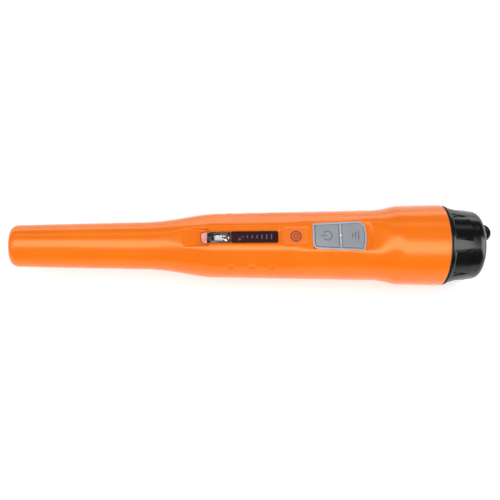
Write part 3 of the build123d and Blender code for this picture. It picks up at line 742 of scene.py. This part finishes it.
def flank_radius(x, angle):
    """Radius of the outside before the control face is cut: dimples and side facets included."""
    radius = outer_radius(x)
    for grip_x in GRIP_XS:
        away = math.hypot(x - grip_x, radius * (abs(angle) - GRIP_ANGLE))
        radius -= GRIP_DEPTH * math.exp(-((away / GRIP_WIDTH) ** 2))
    if FACE_FRONT[0] < x < BARREL_START[0]:
        facet = facet_distance(x) / max(math.cos(abs(angle) - FACET_ANGLE), 0.1)
        radius = smooth_min(radius, facet, FACET_SOFTNESS)
    return radius


def surface_point(x, angle):
    """A point of the housing's outside, at an angle from +Z towards +Y."""
    radius = flank_radius(x, angle)
    y, z = radius * math.sin(angle), radius * math.cos(angle)
    if z < 0:
        return (x, y, z)
    z = smooth_min(z, face_height(x) - face_drop(x, y), crease_softness(x))
    for x_range, half_width, corner, floor in RECESSES:
        share = edge_share(rounded_box_distance(x, y, x_range, half_width, corner))
        if share > 0:
            z = min(z, z + (floor(x) - z) * share)
    past_groove = x - GROOVE_X[1] + GROOVE_CURVE * y * y
    from_groove = max(GROOVE_X[0] - x, past_groove, abs(y) - GROOVE_HALF_WIDTH)
    z -= GROOVE_DEPTH * smoothstep(*GROOVE_EDGE, from_groove)
    z -= KEYPAD_RECESS_DEPTH * edge_share(keypad_distance(x, y) + KEYPAD_RECESS_INSET)
    return (x, y, z)


def housing_columns():
    """Stations round the housing: widths across the control face, and shares of the rest of the way."""
    sides = [s * w for w in RECESS_SIDES for s in (-1, 1)]
    across = refined(-FACE_GRID_HALF_WIDTH, FACE_GRID_HALF_WIDTH, FACE_GRID_STEP, sides, (-0.1, 0.1))
    edge = math.asin(across[-1] / outer_radius(HANDLE_MIDDLE_X))
    away = math.radians(GRIP_FINE_DEGREES + 1)
    coarse = [a for a in refined(edge, math.pi, math.radians(3.0)) if abs(a - GRIP_ANGLE) > away]
    fine = [GRIP_ANGLE + math.radians(a) for a in range(-GRIP_FINE_DEGREES, GRIP_FINE_DEGREES + 1)]
    return across, [(a - edge) / (math.pi - edge) for a in sorted(set(coarse + fine)) if a > edge + 0.02]


def housing_stations():
    """Stations along the housing, close together where it has detail."""
    edges = sorted({x for x_range, *_ in RECESSES for x in x_range})
    return (
        refined(5.0, 60.0, 2.5)
        + refined(61.0, 77.5, 1.0)
        + refined(78.0, 138.0, 0.5, edges, (-0.12, 0.0, 0.12))
        + refined(138.4, 167.0, 0.4)
        + refined(167.4, 190.0, 0.6)
        + refined(191.5, RIM_X - RIM_ROUNDING, 2.0)
    )


def housing_skin():
    """The outside of the housing from the middle of the tip to the inner edge of the rim."""
    across, shares = housing_columns()

    def angles(x):
        radius = outer_radius(max(x, TIP_CORNER_X))
        squeeze = min(1.0, radius / outer_radius(RAMP[0]))
        top = [math.asin(y * squeeze / radius) for y in across]
        side = [top[-1] + s * (math.pi - top[-1]) for s in shares]
        return top + side + [-a for a in reversed(side[:-1])]

    loops = [circle(0.0, TIP_FACE_RADIUS * share, angles(0.0)) for share in (0.02, 0.35, 0.7, 0.92)]
    for turn in quarter_turn(10):
        radius = TIP_FACE_RADIUS + (TIP_RADIUS - TIP_FACE_RADIUS) * math.sin(turn)
        x = TIP_CORNER_X * (1 - math.cos(turn))
        loops.append(circle(x, radius, angles(x)))
    for x in housing_stations():
        loops.append([surface_point(x, a) for a in angles(x)])
    for turn in quarter_turn(5, 1):
        x = RIM_X - RIM_ROUNDING * (1 - math.sin(turn))
        radius = RIM_RADIUS - RIM_ROUNDING * (1 - math.cos(turn))
        loops.append(circle(x, radius, angles(x)))
    return stacked(loops, close_end=False)


def in_mouth(c):
    """Whether a face belongs to the rim, the mouth with its slots, or the battery's bay."""
    radius = math.hypot(c.y, c.z)
    if c.x > MOUTH_START_X:
        return radius < RIM_RADIUS - RIM_ROUNDING
    return c.x > BAY_START_X and radius < BAY_RADIUS and abs(c.z) < BAY_HALF_HEIGHT


def barrel_marks():
    """A row of short raised bars round the barrel near its rim."""
    bars = []
    for k in range(-3, 4):
        angle = math.radians(MARK_MIDDLE + MARK_SPACING * k)
        spine = [(x, outer_radius(x) - MARK_SINK) for x in MARK_XS]
        bars.append(bead([(x, r * math.sin(angle), r * math.cos(angle)) for x, r in spine], MARK_BEAD))
    return merged(*bars)


piece("housing_skin", *housing_skin(), orange, "housing", "orange_shell", replaces=("body_shell",))
piece("barrel_marks", *barrel_marks(), orange, "housing", "orange_shell")
mouth = cad_faces("body_shell", in_mouth)
piece("housing_mouth", *mouth, orange, "housing", "orange_shell", sharp_over=30)


# ================ cap ================

def cap_radius(x):
    """Radius of the cap between its flange and its rounded end."""
    waist_slope = slope_between(CAP_NECK, CAP_WAIST)
    if x < CAP_WAIST[0]:
        return hermite(x, CAP_NECK, waist_slope, CAP_WAIST, waist_slope * 0.8)
    return hermite(x, CAP_WAIST, waist_slope * 0.8, CAP_SHOULDER, CAP_SHOULDER_SLOPE)


def cap_point(x, angle):
    """A point of the cap's outside at an angle from +Z towards +Y, with the pockets between the ribs."""
    radius = cap_radius(x)
    step = 2 * math.pi / CAP_RIBS
    from_pocket = (angle - math.radians(CAP_RIB_TILT)) % step - step / 2
    across = radius * math.sin(from_pocket)
    inside = rounded_box_distance(x, across, POCKET_X, POCKET_HALF_WIDTH, POCKET_CORNER)
    depth = POCKET_DEPTH * (1 - clamp((x - POCKET_X[0]) / (POCKET_END_X - POCKET_X[0])))
    chamfer = POCKET_CHAMFER_SLOPE * clamp(-inside, 0, POCKET_CHAMFER)
    wall = smoothstep(-POCKET_CHAMFER, -POCKET_CHAMFER - POCKET_WALL, inside)
    radius -= min(chamfer + max(depth - chamfer, 0) * wall, depth)
    return (x, radius * math.sin(angle), radius * math.cos(angle))


def cap_angles():
    """Angles round the cap, close together along the sides of the pockets."""
    step = 360 / CAP_RIBS
    rib_edge = step / 2 - math.degrees(math.asin(POCKET_HALF_WIDTH / CAP_WAIST[1]))
    half = refined(0, step / 2, 1.6, (rib_edge,), [0.45 * k for k in range(-2, 13)])
    around = [CAP_RIB_TILT + step * k + s * a for k in range(CAP_RIBS) for s in (1, -1) for a in half]
    return sorted({round(math.radians(a % 360), 6) for a in around})


def cap_skin():
    """The outside of the cap from the flange's front face to the middle of its end."""
    angles = cap_angles()
    flange_middle = CAP_FLANGE_RADIUS - FLANGE_ROUNDING
    loops = [circle(CAP_FLANGE_X, radius, angles) for radius in (CAP_SEAT_RADIUS, flange_middle)]
    for turn in quarter_turn(5, 1):
        x = CAP_FLANGE_X + FLANGE_ROUNDING * (1 - math.cos(turn))
        loops.append(circle(x, CAP_FLANGE_RADIUS - FLANGE_ROUNDING * (1 - math.sin(turn)), angles))
    pocket_front = (-0.1, 0.0, 0.25, 0.5, 0.6, 0.7, 0.85)
    for x in refined(CAP_NECK[0], CAP_SHOULDER[0], 0.35, (POCKET_X[0],), pocket_front):
        loops.append([cap_point(x, a) for a in angles])
    for turn in quarter_turn(8, 1):
        x = CAP_SHOULDER[0] + (CAP_END_X - CAP_SHOULDER[0]) * math.sin(turn)
        radius = CAP_END_RADIUS + (CAP_SHOULDER[1] - CAP_END_RADIUS) * math.cos(turn)
        loops.append(circle(x, radius, angles))
    loops += [circle(CAP_END_X, CAP_END_RADIUS * share, angles) for share in (0.97, 0.7, 0.35, 0.02)]
    return stacked(loops, close_start=False)


def in_skirt(c):
    """Whether a face belongs to the cap's skirt with its lugs, or the inside of the cap."""
    inside = math.hypot(c.y, c.z) < CAP_BORE_RADIUS and c.x < CAP_BORE_END_X
    return c.x < CAP_FLANGE_X - 0.01 or inside


def lanyard_eye():
    """A loop with a squarish section, with straight cheeks that run into the cap's end."""
    bar_half = (EYE_RADIUS - EYE_HOLE_RADIUS) / 2
    middle = EYE_HOLE_RADIUS + bar_half
    path = [(EYE_LOW.x + EYE_SINK, EYE_Y - middle, 0.0)]
    for k in range(EYE_STEPS + 1):
        angle = -math.pi / 2 + math.pi * k / EYE_STEPS
        x, y = EYE_X + middle * math.cos(angle), EYE_Y + middle * math.sin(angle)
        path.append((x, y, angle + math.pi / 2))
    path.append((EYE_LOW.x + EYE_SINK, EYE_Y + middle, math.pi))

    def squared(value):
        return math.copysign(abs(value) ** EYE_SQUARENESS, value)

    loops = []
    for x, y, heading in path:
        ring = []
        for turn in full_turn(16):
            wide = squared(math.cos(turn)) * bar_half
            high = squared(math.sin(turn)) * EYE_HALF_THICKNESS
            ring.append((x + math.sin(heading) * wide, y - math.cos(heading) * wide, high))
        loops.append(ring)
    return stacked(loops)


piece("cap_skin", *cap_skin(), cap_black, "cap", "cap_black", replaces=("battery_cap",))
piece("cap_skirt", *cad_faces("battery_cap", in_skirt), cap_black, "cap", "cap_black", sharp_over=30)
piece("eye_loop", *lanyard_eye(), cap_black, "cap", "cap_black", replaces=("lanyard_eye",))


# ================ keypad ================

def keypad_corners(inset, front=None, rear=None):
    """Corners of the keypad's outline, inset all round, or of the part of it between two stations."""
    large, small = (max(r - inset, SMALLEST_CORNER) for r in KEYPAD_CORNERS)
    start = KEYPAD_X[0] + inset if front is None else front
    end = KEYPAD_X[1] - inset if rear is None else rear
    start_half = keypad_half_width(start) - inset
    end_half = keypad_half_width(end) - inset
    return [
        (start, start_half, KEY_INNER_CORNER if front else small),
        (start, -start_half, KEY_INNER_CORNER if front else large),
        (end, -end_half, KEY_INNER_CORNER if rear else small),
        (end, end_half, KEY_INNER_CORNER if rear else large),
    ]


def bulged(outline, inset):
    """The outline with its rear edge pushed out in an arc."""
    half = KEYPAD_HALF_WIDTHS[1]
    start, end = KEYPAD_X[1] - KEYPAD_BULGE_LENGTH, KEYPAD_X[1] - inset
    return [(x + KEYPAD_BULGE * smoothstep(start, end, x) * (1 - (y / half) ** 2), y) for x, y in outline]


def drawn_in(outline, centre_u, share):
    """The outline made smaller about a point of the middle line."""
    return [(centre_u + (u - centre_u) * share, v * share) for u, v in outline]


def disc(u, v, radius):
    """A circle in plan."""
    return [(u + radius * math.cos(a), v + radius * math.sin(a)) for a in full_turn(20)]


def slab(outline, base, heights):
    """A flat piece over an outline, between two heights above a base."""
    return stacked([laid(outline, base + h) for h in heights])


def button(front, rear):
    """A key: straight sides, a soft shoulder and a slightly crowned top."""
    corners = keypad_corners(BEZEL_BORDER + KEY_GAP, front, rear)
    outline = bulged(dense(rounded_outline(corners)), BEZEL_BORDER)
    loops = [laid(outline, KEY_UNDERSIDE)]
    for turn in quarter_turn(5):
        height = KEY_RISE - KEY_CROWN - KEY_SHOULDER * (1 - math.sin(turn))
        loops.append(laid(shrunk(outline, KEY_SHOULDER * (1 - math.cos(turn))), height))
    centre_u = sum(u for u, _ in outline) / len(outline)
    for share in (0.8, 0.55, 0.3, 0.08):
        loops.append(laid(drawn_in(outline, centre_u, share), KEY_RISE - KEY_CROWN * share * share))
    return stacked(loops)


def bezel():
    """The frame round the keys, with a rounded lip, and the web between them."""
    outer = bulged(dense(rounded_outline(keypad_corners(0.0))), 0.0)
    rings = [(0.0, -KEYPAD_RECESS_DEPTH)]
    for turn in quarter_turn(4):
        inset = BEZEL_LIP * (1 - math.cos(turn))
        rings.append((inset, BEZEL_RISE - BEZEL_LIP * (1 - math.sin(turn))))
    for turn in quarter_turn(4):
        inset = BEZEL_BORDER - BEZEL_LIP * (1 - math.sin(turn))
        rings.append((inset, BEZEL_RISE - BEZEL_LIP * (1 - math.cos(turn))))
    rings.append((BEZEL_BORDER, -KEYPAD_RECESS_DEPTH))
    frame_loops = [laid(shrunk(outer, inset), height) for inset, height in rings]
    half_length = (KEYPAD_HALF_WIDTHS[0] + KEYPAD_HALF_WIDTHS[1]) / 2 - BEZEL_BORDER + WEB_OVERLAP
    section = (
        (-DIVIDER_HALF, -KEYPAD_RECESS_DEPTH), (-DIVIDER_HALF, WEB_RISE),
        (DIVIDER_HALF, WEB_RISE), (DIVIDER_HALF, -KEYPAD_RECESS_DEPTH),
    )
    web_loops = [[on_face(DIVIDER_X + u, v, h) for u, h in section] for v in (-half_length, half_length)]
    return merged(stacked(frame_loops, False, False), stacked(web_loops))


def divider_ridge():
    """The thin raised line between the keys, in a lighter grey that paints its highlight."""
    return bead([on_face(DIVIDER_X, RIDGE_HALF_LENGTH * k / 4, WEB_RISE) for k in range(-4, 5)], RIDGE_RADIUS)


def light_dome():
    """The small light in the middle of the ridge."""
    loops = []
    for turn in quarter_turn(4):
        radius = LIGHT_RADIUS * math.cos(turn) + LIGHT_TIP_RADIUS
        loops.append(laid(disc(DIVIDER_X, 0, radius), WEB_RISE + LIGHT_LIFT + LIGHT_HEIGHT * math.sin(turn)))
    return stacked(loops)


def arc(centre_u, radius, start, end, height, count=24):
    """Points along an arc on the control face; angles in degrees from the direction of the tip."""
    angles = [math.radians(start + (end - start) * k / count) for k in range(count + 1)]
    return [on_face(centre_u - radius * math.cos(a), radius * math.sin(a), height) for a in angles]


def power_symbol():
    """A broken ring with a bar through its gap, half sunk in the key, in a darker grey that paints the shade
    along its raised edges.
    """
    ring = bead(arc(POWER_KEY_X, POWER_RING_RADIUS, *POWER_RING_DEGREES, KEY_RISE), SYMBOL_BEAD)
    bar = bead([on_face(POWER_KEY_X - u, 0, KEY_RISE) for u in POWER_BAR], SYMBOL_BEAD)
    return merged(ring, bar)


def mode_symbol():
    """Three bars, each longer than the last, half sunk in the key, in a darker grey that paints the shade
    along their raised edges.
    """
    bars = []
    for k, half in enumerate(MODE_BAR_HALVES):
        u = MODE_KEY_X - MODE_BAR_STEP + MODE_BAR_STEP * k
        bars.append(bead([on_face(u, v, KEY_RISE) for v in (-half, -half / 3, half / 3, half)], SYMBOL_BEAD))
    return merged(*bars)


power_key = button(None, DIVIDER_X - DIVIDER_HALF - KEY_GAP)
mode_key = button(DIVIDER_X + DIVIDER_HALF + KEY_GAP, None)
piece("divider_ridge", *divider_ridge(), ridge_painted_highlight, "housing", "bezel_grey")
piece("divider_light", *light_dome(), light_guide, "housing", "light_guide", replaces=("keypad_light",))
piece("power_key", *power_key, key_rubber, "power_key", "key_grey", replaces=("power_button",))
piece("mode_key", *mode_key, key_rubber, "mode_key", "key_grey", replaces=("mode_button",))
piece("keypad_frame", *bezel(), bezel_grey, "housing", "bezel_grey",
      replaces=("keypad_bezel",), sharp_over=50)
piece("power_symbol", *power_symbol(), key_symbol_shade_paint, "power_key", "key_grey")
piece("mode_symbol", *mode_symbol(), key_symbol_shade_paint, "mode_key", "key_grey")


# ================ label and window ================

def target_symbol():
    """A plain target on the label: two rings and a dot."""
    rings = []
    for radius, steps, thickness in LABEL_RINGS:
        rings.append(bead(arc(LABEL_X, radius, 0, 360, LABEL_HEIGHT, steps), thickness))
    dot = [on_face(LABEL_X + u, 0, LABEL_HEIGHT) for u in (-LABEL_DOT_HALF, 0, LABEL_DOT_HALF)]
    return merged(*rings, bead(dot, LABEL_DOT_BEAD))


def window_scale():
    """Printed strokes along the window, which get longer towards the cap."""
    strokes = []
    for k in range(SCALE_STROKES):
        u = SCALE_START_X + SCALE_STEP * k
        half = STROKE_HALF_LENGTH + STROKE_GROWTH * k
        across = (u - STROKE_HALF_WIDTH, u + STROKE_HALF_WIDTH)
        strokes.append(slab(rounded_box(across, (-half, half), STROKE_CORNER, 4), WINDOW_TOP, PRINT_HEIGHTS))
    return merged(*strokes)


piece("label_symbol", *target_symbol(), mark_orange, "housing", "label_orange")
piece("window_scale", *window_scale(), window_mark, "housing", "window_smoke", sharp_over=40)


# ================ lamp under its clear cover ================

def long_outline(x_range, half_width, corners):
    """A long outline on the control face with its own corner radius at each end."""
    start, end = x_range
    front, rear = corners
    return dense(rounded_outline([
        (start, half_width, front), (start, -half_width, front),
        (end, -half_width, rear), (end, half_width, rear),
    ]))


def clear_lens():
    """The clear cover: prism ridges across its sloping toe, then a flat top with softened edges."""
    outline = long_outline(LENS_X, LENS_HALF_WIDTH, LENS_CORNERS)

    def top(u):
        toe = smoothstep(LENS_X[0], TOE_END_X, u)
        ridges = TOE_RIDGE * math.sin((u - LENS_X[0]) * 2 * math.pi / TOE_RIDGE_SPACING) * (1 - toe)
        return SEAT + TOE_HEIGHT + (LENS_TOP - SEAT - TOE_HEIGHT) * toe + ridges

    loops = [laid(outline, SEAT)]
    for turn in quarter_turn(3, 1):
        ring = shrunk(outline, LENS_ROUNDING * (1 - math.cos(turn)))
        loops.append([on_face(u, v, top(u) - LENS_ROUNDING * (1 - math.sin(turn))) for u, v in ring])
    inner = shrunk(outline, LENS_ROUNDING)
    for k in range(11, 0, -1):
        loops.append([on_face(u, v * (k / 12), top(u)) for u, v in inner])
    return stacked(loops)


def torch_tray():
    """A dark tray under the clear cover, with a deep cup for the LED."""
    rim = long_outline(TRAY_X, LENS_HALF_WIDTH - TRAY_INSET, TRAY_CORNERS)
    mouth = [(clamp(u, *CUP_X), clamp(v, -CUP_HALF_WIDTH, CUP_HALF_WIDTH)) for u, v in rim]
    inner = [(clamp(u, CUP_X[0] + CUP_WALL, CUP_X[1] - CUP_WALL), v * CUP_INNER_SHARE) for u, v in mouth]

    def level(points, height):
        return [(on_face(u, v, 0)[0], v, height) for u, v in points]

    return stacked([
        level(mouth, CUP_FLOOR - CUP_FLOOR_THICKNESS),
        laid(mouth, SEAT - TRAY_DROP),
        laid(rim, SEAT - TRAY_DROP),
        laid(rim, SEAT + TRAY_HEIGHT),
        laid(inner, SEAT + TRAY_HEIGHT),
        level(inner, CUP_FLOOR),
    ])


def toe_prisms():
    """Pale cross ribs under the cover's toe, which scatter the lamp's light forwards; their blotchy
    pink-to-white colour is painted sparkle of light in the clear toe.
    """
    outline = long_outline(PRISMS_X, LENS_HALF_WIDTH - PRISMS_INSET, PRISMS_CORNERS)
    centre_u = sum(PRISMS_X) / 2
    along, across = PRISM_SPACING

    def top(u, v):
        relief = PRISM_RELIEF * math.sin(u * 2 * math.pi / along) * math.sin(v * 2 * math.pi / across)
        return SEAT + PRISM_HEIGHT + relief

    loops = [laid(outline, SEAT)]
    for share in (1.0, 0.85, 0.7, 0.55, 0.4, 0.25, 0.1):
        loops.append([on_face(u, v, top(u, v)) for u, v in drawn_in(outline, centre_u, share)])
    return stacked(loops)


def torch_lamp():
    """The lamp's body, which lies along the face, with a domed front end and a collar."""
    dome = [(LAMP_X[0] + LAMP_RADIUS * (1 - math.sin(t)), LAMP_RADIUS * math.cos(t)) for t in LAMP_DOME_TURNS]
    rear = [(LAMP_X[1] - back, LAMP_RADIUS * share) for back, share in LAMP_REAR]
    loops = []
    for u, r in dome + rear:
        loops.append([on_face(u, r * math.sin(a), LAMP_HEIGHT + r * math.cos(a)) for a in full_turn(20)])
    return stacked(loops)


def torch_leads():
    """Two flat legs from the lamp back to their pads, and a cross of pads behind them."""
    parts = []
    for v in LEG_MIDDLES:
        outline = rounded_box(LEG_X, (v - LEG_HALF_WIDTH, v + LEG_HALF_WIDTH), 0.1, 3)
        parts.append(slab(outline, SEAT, LEG_HEIGHTS))
    for half_u, half_v in PAD_HALVES:
        outline = rounded_box((PAD_X - half_u, PAD_X + half_u), (-half_v, half_v), 0.12, 3)
        parts.append(slab(outline, SEAT, PAD_HEIGHTS))
    return merged(*parts)


def status_light():
    """The one indicator that shows through the window: a small raised disc."""
    return slab(disc(*STATUS_PLACE, STATUS_RADIUS), WINDOW_TOP, PRINT_HEIGHTS)


piece("clear_cover", *clear_lens(), lens_clear, "housing", "lens_clear", replaces=("torch_lens",))
piece("torch_tray", *torch_tray(), tray_black, "housing", "window_smoke")
piece("torch_lamp", *torch_lamp(), lamp_white, "housing", "led_clear", replaces=("torch_led",))
piece("torch_leads", *torch_leads(), chrome, "housing", "steel")
piece("toe_prisms", *toe_prisms(), prism_painted_sparkle, "housing", "lens_clear")
piece("status_light", *status_light(), status_red, "housing", "led_clear")


# ================ pieces whose CAD shape is right ================

CARRIED = {
    window_dark: ("window_plate",),
    label_orange: ("front_label",),
    led_die: ("status_leds",),
    seal_rubber: ("cap_gasket",),
    foam: ("tip_cushion", "battery_pad"),
    nylon: ("power_plunger", "mode_plunger", "coil_former", "centring_rings", "sled", "slip_washer"),
    chip: ("microcontroller", "amplifier_chips", "capacitors", "tact_switches", "buzzer_case"),
    ferrite: ("ferrite_rod", "power_inductor"),
    copper: ("transmit_coil", "receive_coil", "coil_leads"),
    shield_film: ("faraday_shield",),
    board: ("main_board", "contact_board"),
    steel: (
        "crystal", "board_screws", "motor_can", "motor_shaft", "motor_weight", "snap_contacts",
        "battery_terminals",
    ),
    brass: ("buzzer_disc",),
    lead_red: ("battery_leads",),
    jacket: ("battery_case",),
    sleeve: ("battery_cells",),
}
for material, names in CARRIED.items():
    for name in names:
        for material_slot in nodes[name].material_slots:
            material_slot.material = material


# ================ studio ================

FLOOR_HALF = 3.0
FLOOR_X = 0.11
FLOOR_GAP = 0.0002
FLOOR_GLOW = 0.25
WORLD_STRENGTH = 0.8
WORLD_STRENGTH_IN_REFLECTIONS = 0.12
MIDDLE = Vector((0.110, 0, 0))
SOFTBOX_DISTANCE = 0.62
ENDWAYS = 0.3


def grey(value):
    return (value, value, value, 1)


def studio_floor():
    """A pale floor just under the model."""
    mesh = bpy.data.meshes.new("floor")
    corners = [(-1, -1), (1, -1), (1, 1), (-1, 1)]
    mesh.from_pydata([(x * FLOOR_HALF, y * FLOOR_HALF, 0) for x, y in corners], [], [(0, 1, 2, 3)])
    floor = added("floor", mesh)
    floor.location = (FLOOR_X, 0, cad_low.z - FLOOR_GAP)
    paint = new_material("floor_paint", grey(0.93), 0.9, specular=0.1)
    tint(paint, ranged(paint, noise(paint, 3, 2), 0, 1), grey(0.92), grey(0.94))
    set_inputs(shader_of(paint), {"Emission Color": grey(1), "Emission Strength": FLOOR_GLOW})
    mesh.materials.append(paint)


def studio_world():
    """White surroundings that reflections see much dimmer."""
    world = bpy.data.worlds.new("studio")
    world.use_nodes = True
    tree = world.node_tree
    background = tree.nodes["Background"]
    background.inputs["Color"].default_value = grey(1)
    paths = tree.nodes.new("ShaderNodeLightPath")
    dimmer = tree.nodes.new("ShaderNodeMapRange")
    set_inputs(dimmer, {"To Min": WORLD_STRENGTH, "To Max": WORLD_STRENGTH_IN_REFLECTIONS})
    tree.links.new(paths.outputs["Is Glossy Ray"], dimmer.inputs["Value"])
    tree.links.new(dimmer.outputs["Result"], background.inputs["Strength"])
    bpy.context.scene.world = world


def softbox(name, direction, width, length, radiance, glossy_only=True, yaw=0.0):
    """A soft light in a direction from the middle, its length along the probe or turned by a yaw."""
    light = bpy.data.lights.new(name, "AREA")
    light.shape = "RECTANGLE"
    light.size = length
    light.size_y = width
    light.energy = radiance * math.pi * length * width
    obj = added(name, light)
    away = Vector(direction).normalized()
    across = Vector((0, 1, 0)) if abs(away.x) > ENDWAYS else Vector((1, 0, 0)).cross(away)
    along = across.cross(away).normalized()
    across = away.cross(along)
    placed = Matrix.Translation(MIDDLE + away * SOFTBOX_DISTANCE)
    facing = Matrix((along, across, away)).transposed().to_4x4()
    obj.matrix_world = placed @ facing @ Matrix.Rotation(math.radians(yaw), 4, "Z")
    obj.visible_camera = False
    obj.visible_diffuse = not glossy_only
    obj.visible_glossy = glossy_only


def over(tilt):
    """The direction tilted from straight above towards +Y, in degrees."""
    return (0, math.sin(math.radians(tilt)), math.cos(math.radians(tilt)))


studio_floor()
studio_world()
bpy.context.scene.view_settings.view_transform = "Standard"
softbox("fill", over(-20), 0.9, 1.0, 1.0, glossy_only=False)
softbox("key_softbox", over(-14), 0.36, 0.86, 5.6, yaw=-28)
softbox("rim_softbox", over(44), 0.13, 1.0, 1.5)
softbox("side_card", over(88), 0.24, 1.2, 3.0)
softbox("tip_softbox", (-0.75, -0.1, 0.66), 0.4, 0.4, 3.0)
softbox("cap_softbox", (0.94, -0.12, 0.32), 0.34, 0.6, 6.0)


# ================ camera ================

CAMERA_BACK = Vector((-0.082, -0.291, 0.953)).normalized()
CAMERA_UP = Vector((0, 0.956, 0.292))
CAMERA_DISTANCE = 0.379
FOCAL_LENGTH = 57.9
SENSOR_WIDTH = 36.0
NEAREST = 0.01
AIM_X = 0.1104
AXIS_ABOVE_CENTRE = 0.0021
ROLL = math.radians(0.14)

right = CAMERA_UP.cross(CAMERA_BACK).normalized()
up = CAMERA_BACK.cross(right)
lens = bpy.data.cameras.new("camera")
lens.lens = FOCAL_LENGTH
lens.sensor_width = SENSOR_WIDTH
lens.clip_start = NEAREST
camera = added("camera", lens)
turned = Matrix((right, up, CAMERA_BACK)).transposed() @ Matrix.Rotation(-ROLL, 3, "Z")
aim = Vector((AIM_X, 0, 0)) - up * AXIS_ABOVE_CENTRE
camera.matrix_world = Matrix.Translation(aim + CAMERA_BACK * CAMERA_DISTANCE) @ turned.to_4x4()
bpy.context.scene.camera = camera
